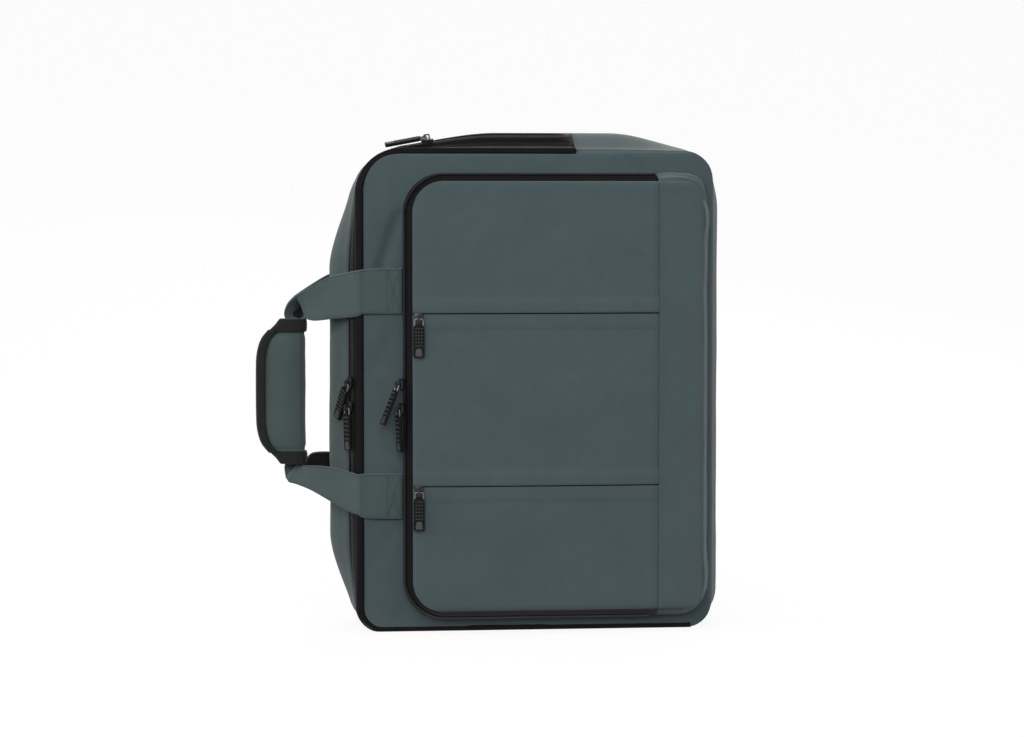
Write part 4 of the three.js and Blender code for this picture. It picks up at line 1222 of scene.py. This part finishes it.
def make_grip_binding():
    """A rounded channel of binding over both edges of the wrap."""
    rows = []
    for along in spread(CUFF_SHARE * 0.9, 1 - CUFF_SHARE * 0.9, 80):
        section = wrap_section(along, 3)
        inside, edge = place_along(section, BINDING_WIDTH), section[0]
        row = []
        for share in spread(-1.0, 1.0, 18):
            side, bend = (1 if share > 0 else -1), abs(share)
            if bend > CHANNEL["bend"]:
                t = (bend - CHANNEL["bend"]) / (1 - CHANNEL["bend"])
                across = mix(abs(edge.y), abs(inside.y), t) + CHANNEL["proud"]
                point = Vector((mix(edge.x, inside.x, t), side * across, edge.z))
                point.y -= side * 0.9 * smooth(0.8, 1.0, t)
            else:
                angle = bend / CHANNEL["bend"] * math.pi / 2
                across = (abs(edge.y) + CHANNEL["proud"]) * math.sin(angle)
                point = Vector((edge.x - CHANNEL["nose"] * math.cos(angle), side * across, edge.z))
            row.append(point)
        rows.append(row)
    obj = grid_object("grip_edge_binding", rows, BINDING, lambda p: Vector((-1, 0, 0)))
    return seat(thicken(obj, BINDING_WALL), "binding", "grip_binding")


def make_cuff(name, start, end, node):
    """A band of binding wound round one end of the wrap, with rolled edges."""
    columns = []
    for share in spread(0.0, 1.0, 14):
        section = wrap_section(mix(start, end, share), 3)
        outs = section_outs(section, closed=True)
        proud = 0.5 + 1.2 * math.sqrt(max(0.0, 1 - abs(2 * share - 1) ** 5))
        proud -= stitched((share - 0.16) * CUFF, 0.25, 0.7) + stitched((share - 0.84) * CUFF, 0.25, 0.7)
        columns.append([point + out * proud for point, out in zip(section, outs)])
    rows = [[column[i] for column in columns] for i in range(len(columns[0]))]
    middle = Vector((GRIP_RIGHT - GRIP_WIDTH / 4, 0, rows[0][0].z))
    obj = grid_object(name, rows, BINDING, lambda p: Vector((p.x - middle.x, p.y, 0)), ring=True)
    return seat(thicken(obj, BINDING_WALL), "binding", node)


make_wrap()
make_grip_binding()
make_cuff("grip_cuff_top", 0.0, CUFF_SHARE, "grip_cuff_upper")
make_cuff("grip_cuff_base", 1 - CUFF_SHARE, 1.0, "grip_cuff_lower")


# Stitches on the compartment's face

FACE_LINES = [
    ("face_top", UPPER_FLAP["low"] + UPPER_FLAP["stitch"]),
    ("face_middle", UPPER_ZIP_LOW + FLAP_OVERHANG - UNDER_STITCH),
    ("face_middle", LOWER_FLAP["low"] + LOWER_FLAP["stitch"]),
    ("face_bottom", LOWER_ZIP_LOW + FLAP_OVERHANG - UNDER_STITCH),
]
face_stitches = []
for node, z in FACE_LINES:
    surface = FACE_SURFACES[node]
    line = [Vector((x, surface(x, z) - 0.05, z)) for x in spread(FACE["left"] + 2, BAND_SEAM - 2, 120)]
    face_stitches += [(place, lay, Vector((0, -1, 0))) for place, lay in even_places(line, STITCH_PITCH)]
repeat_beads("face_stitches", face_stitches, STITCH_SIZE, THREAD, "cloth")


# Sliders and pulls

PULLS = ("main_upper", "main_lower", "top", "pocket_upper", "pocket_lower", "face_upper", "face_lower")
RING = {"half": 3.7, "wire": 0.8, "reach": 6.9}
TAB = {"start": 5.2, "neck": 8.6, "width": 10.0, "thickness": 2.9}
DOTS = {"first": 8.4, "last": 10.4, "rows": 6, "aside": 2.5, "size": 1.6, "high": 1.0}
TIP = {"start": 8.0, "end": 1.0, "top": 4.6, "base": 7.0, "thickness": 3.1}
WIDE_FACE = 20.0    # the least area of a face that gets a sunk panel
SUNK_WALL = 0.25
EDGE_ROUND = 0.3 * MM


def rounded_polygon(corners, radius, steps=4):
    """A polygon's outline with each corner cut by a small curve."""
    outline = []
    for i, corner in enumerate(corners):
        here = Vector(corner)
        before, after = Vector(corners[i - 1]) - here, Vector(corners[(i + 1) % len(corners)]) - here
        cut = min(radius, before.length / 2, after.length / 2)
        start, end = here + before.normalized() * cut, here + after.normalized() * cut
        for t in spread(0.0, 1.0, steps):
            outline.append(start * (1 - t) ** 2 + here * 2 * t * (1 - t) + end * t * t)
    return outline


def add_plate(mesh, outline, thickness, material, bevel, inset=0.0, sunk=0.0):
    """A bevelled plate in the pull's frame, with a sunk panel on both faces if inset is given."""
    first = set(mesh.faces)
    verts = [mesh.verts.new((p[0], p[1], -thickness / 2)) for p in outline]
    base = mesh.faces.new(verts)
    top = bmesh.ops.extrude_face_region(mesh, geom=[base])
    moved = [v for v in top["geom"] if isinstance(v, bmesh.types.BMVert)]
    bmesh.ops.translate(mesh, vec=(0, 0, thickness), verts=moved)
    made = [face for face in mesh.faces if face not in first]
    bmesh.ops.recalc_face_normals(mesh, faces=made)
    flat = [face for face in made if abs(face.normal.z) > 0.9]
    edges = list({edge for face in flat for edge in face.edges})
    bmesh.ops.bevel(mesh, geom=edges, offset=bevel, segments=3, profile=0.6, affect="EDGES")
    if inset:
        wide = [face for face in mesh.faces if face not in first and abs(face.normal.z) > 0.99
                and face.calc_area() > WIDE_FACE]
        for face in wide:
            bmesh.ops.inset_region(mesh, faces=[face], thickness=inset, depth=0.0)
            bmesh.ops.inset_region(mesh, faces=[face], thickness=SUNK_WALL, depth=-sunk)
    for face in mesh.faces:
        if face not in first:
            face.material_index = material
            face.smooth = True


def add_tube(mesh, path, radius, material, sides=10):
    """A closed wire along a path in the pull's own plane."""
    rings = []
    for i, point in enumerate(path):
        along = (Vector(path[(i + 1) % len(path)]) - Vector(path[i - 1])).normalized()
        aside = Vector((along.y, -along.x, 0))
        ring = []
        for k in range(sides):
            angle = 2 * math.pi * k / sides
            ring.append(mesh.verts.new(Vector(point) + aside * radius * math.cos(angle)
                                       + Vector((0, 0, radius * math.sin(angle)))))
        rings.append(ring)
    for i, ring in enumerate(rings):
        following = rings[(i + 1) % len(rings)]
        for k in range(sides):
            face = mesh.faces.new((ring[k], following[k], following[(k + 1) % sides], ring[(k + 1) % sides]))
            face.material_index = material
            face.smooth = True


def make_pull(name):
    """A wire ring, a moulded tab with rows of raised dots on both faces, and a grey end. The dots take the
    end's grey as painted highlight for their glints.
    """
    joint = next(j for j in frame["record"]["behaviour"]["joints"] if j["name"] == f"{name}_pull_hinge")
    origin, axis = Vector(joint["pos_m"]) / MM, Vector(joint["axis"]).normalized()
    low, high = node_box(f"{name}_pull")
    down = (low + high) / 2 - origin
    end = 2 * down.length + RING["wire"]
    down = (down - axis * down.dot(axis)).normalized()
    out = axis.cross(down).normalized()
    mesh = bmesh.new()
    half, reach = RING["half"], RING["reach"]
    ring = rounded_polygon([(-half, 0), (half, 0), (half, reach), (-half, reach)], 1.6, 5)
    add_tube(mesh, [(p.x, p.y, 0) for p in ring], RING["wire"], 2)
    neck, wide = TAB["neck"] / 2, TAB["width"] / 2
    tab = rounded_polygon([(-neck, TAB["start"]), (neck, TAB["start"]), (wide, TAB["start"] + 4),
                           (wide, end), (-wide, end), (-wide, TAB["start"] + 4)], 1.8)
    add_plate(mesh, tab, TAB["thickness"], 0, 0.55, inset=0.55, sunk=0.35)
    top, base = TIP["top"] / 2, TIP["base"] / 2
    tip = rounded_polygon([(-top, end - TIP["start"]), (top, end - TIP["start"]),
                           (base, end - TIP["end"]), (-base, end - TIP["end"])], 1.5)
    add_plate(mesh, tip, TIP["thickness"], 1, 0.4)
    # The dots get material 1, the end's grey: painted highlight standing in for glints on the black dots.
    for y in spread(DOTS["first"], end - DOTS["last"], DOTS["rows"] - 1):
        for column in (-1, 0, 1):
            for face in (-1, 1):
                place = (column * DOTS["aside"], y, face * (TAB["thickness"] / 2 - 0.3))
                size = Matrix.Diagonal((DOTS["size"], DOTS["size"], DOTS["high"] * 2, 1))
                made = bmesh.ops.create_icosphere(mesh, subdivisions=2, radius=0.5,
                                                  matrix=Matrix.Translation(place) @ size)
                for vert in made["verts"]:
                    for linked in vert.link_faces:
                        linked.smooth = True
                        linked.material_index = 1
    turn = Matrix((axis, down, out)).transposed().to_4x4()
    bmesh.ops.recalc_face_normals(mesh, faces=mesh.faces)
    mesh.transform(Matrix.Scale(MM, 4) @ Matrix.Translation(origin) @ turn)
    data = bpy.data.meshes.new(f"{name}_tab")
    mesh.to_mesh(data)
    mesh.free()
    for material in (PULL, PULL_TIP_AND_DOT_GLINT, BRIGHT_METAL):
        data.materials.append(material)
    data.set_sharp_from_angle(angle=math.radians(50))
    return seat(add_object(f"{name}_tab", data), "pull", f"{name}_pull", body=f"{name}_pull")


def make_slider(name):
    """The slider's own solid with its edges rounded."""
    source = bpy.data.objects[f"{name}_slider"]
    mesh = bmesh.new()
    mesh.from_mesh(source.data)
    mesh.transform(source.matrix_world)
    bmesh.ops.remove_doubles(mesh, verts=mesh.verts, dist=0.00002)
    bmesh.ops.dissolve_limit(mesh, angle_limit=math.radians(2), verts=mesh.verts, edges=mesh.edges)
    sharp = [edge for edge in mesh.edges if edge.is_manifold and edge.calc_face_angle(0) > 0.4]
    bmesh.ops.bevel(mesh, geom=sharp, offset=EDGE_ROUND, segments=2, profile=0.6, affect="EDGES",
                    clamp_overlap=True)
    for face in mesh.faces:
        face.smooth = True
    data = bpy.data.meshes.new(f"{name}_runner")
    mesh.to_mesh(data)
    mesh.free()
    data.materials.append(SLIDER)
    data.set_sharp_from_angle(angle=math.radians(40))
    return seat(add_object(f"{name}_runner", data), "slider", f"{name}_slider")


for pull_name in PULLS:
    make_pull(pull_name)
    make_slider(pull_name)


# Stage, lights and camera


# The sweep's section and half width in metres
SWEEP = {"near": -30.0, "bend": 2.2, "radius": 1.6, "top": 6.0, "half": 30.0}


def make_stage():
    """A near-white floor that curves up behind the bag."""
    bend, radius = SWEEP["bend"], SWEEP["radius"]
    profile = [(SWEEP["near"], 0.0), (bend, 0.0)]
    profile += [(bend + radius * math.sin(a), radius - radius * math.cos(a))
                for a in spread(0.0, math.pi / 2, 16)[1:]]
    profile.append((bend + radius, SWEEP["top"]))
    mesh = bpy.data.meshes.new("sweep")
    points = [(x, y, z) for y, z in profile for x in (-SWEEP["half"], SWEEP["half"])]
    faces = [(2 * i, 2 * i + 1, 2 * i + 3, 2 * i + 2) for i in range(len(profile) - 1)]
    mesh.from_pydata(points, [], faces)
    material, _, shader, _ = new_material("white_sweep")
    shader.inputs["Base Color"].default_value = (0.16, 0.16, 0.16, 1)
    shader.inputs["Roughness"].default_value = 0.9
    shader.inputs["Specular IOR Level"].default_value = 0.0
    shader.inputs["Emission Color"].default_value = (1, 1, 1, 1)
    shader.inputs["Emission Strength"].default_value = 0.89
    mesh.materials.append(material)
    mesh.shade_smooth()
    obj = add_object("sweep", mesh)
    obj.visible_diffuse = False     # the sky alone lights the bag from below


def aim(obj, place, target):
    obj.location = place
    obj.rotation_euler = (Vector(target) - Vector(place)).to_track_quat("-Z", "Y").to_euler()


def add_area_light(name, place, target, size, power):
    light = bpy.data.lights.new(name, "AREA")
    light.shape = "RECTANGLE"
    light.size, light.size_y = size
    light.energy = power
    aim(add_object(name, light), place, target)


make_stage()
world = bpy.data.worlds.new("studio")
bpy.context.scene.world = world
world.use_nodes = True
sky = world.node_tree
background = sky.nodes["Background"]
direction = sky.nodes.new("ShaderNodeTexCoord")
height = sky.nodes.new("ShaderNodeSeparateXYZ")
sky.links.new(direction.outputs["Generated"], height.inputs[0])
ramp = sky.nodes.new("ShaderNodeValToRGB")
ramp.color_ramp.elements[0].position = 0.38
ramp.color_ramp.elements[0].color = (0.03, 0.03, 0.03, 1)
ramp.color_ramp.elements[1].position = 0.62
ramp.color_ramp.elements[1].color = (1, 1, 1, 1)
zenith = ramp.color_ramp.elements.new(1.0)
zenith.color = (0.62, 0.62, 0.62, 1)
sky.links.new(math_node(sky, "MULTIPLY_ADD", height.outputs["Z"], 0.5, 0.5), ramp.inputs["Fac"])
sky.links.new(ramp.outputs["Color"], background.inputs["Color"])
background.inputs["Strength"].default_value = 0.64
MIDDLE = (0.0, 0.0, 0.22)
add_area_light("overhead", (-0.3, -0.5, 2.3), MIDDLE, (1.6, 1.2), 1.5)
add_area_light("front_soft", (-0.6, -2.6, 1.3), MIDDLE, (1.8, 1.4), 29)
add_area_light("back_soft", (0.8, 2.4, 1.5), MIDDLE, (1.8, 1.4), 16)
add_area_light("left_soft", (-2.3, -0.8, 1.0), MIDDLE, (1.0, 1.4), 10)
add_area_light("right_soft", (2.2, -0.9, 0.7), MIDDLE, (0.9, 1.4), 3)

CAMERA_PLACE = (-0.3031, -2.7234, 0.3911)
CAMERA_TARGET = (-0.02134, -0.04256, 0.2357)
camera = bpy.data.cameras.new("photo")
camera.sensor_width = 36
camera.lens = 105.74
camera_object = add_object("photo", camera)
aim(camera_object, CAMERA_PLACE, CAMERA_TARGET)
bpy.context.scene.camera = camera_object
bpy.context.scene.view_settings.view_transform = "Standard"
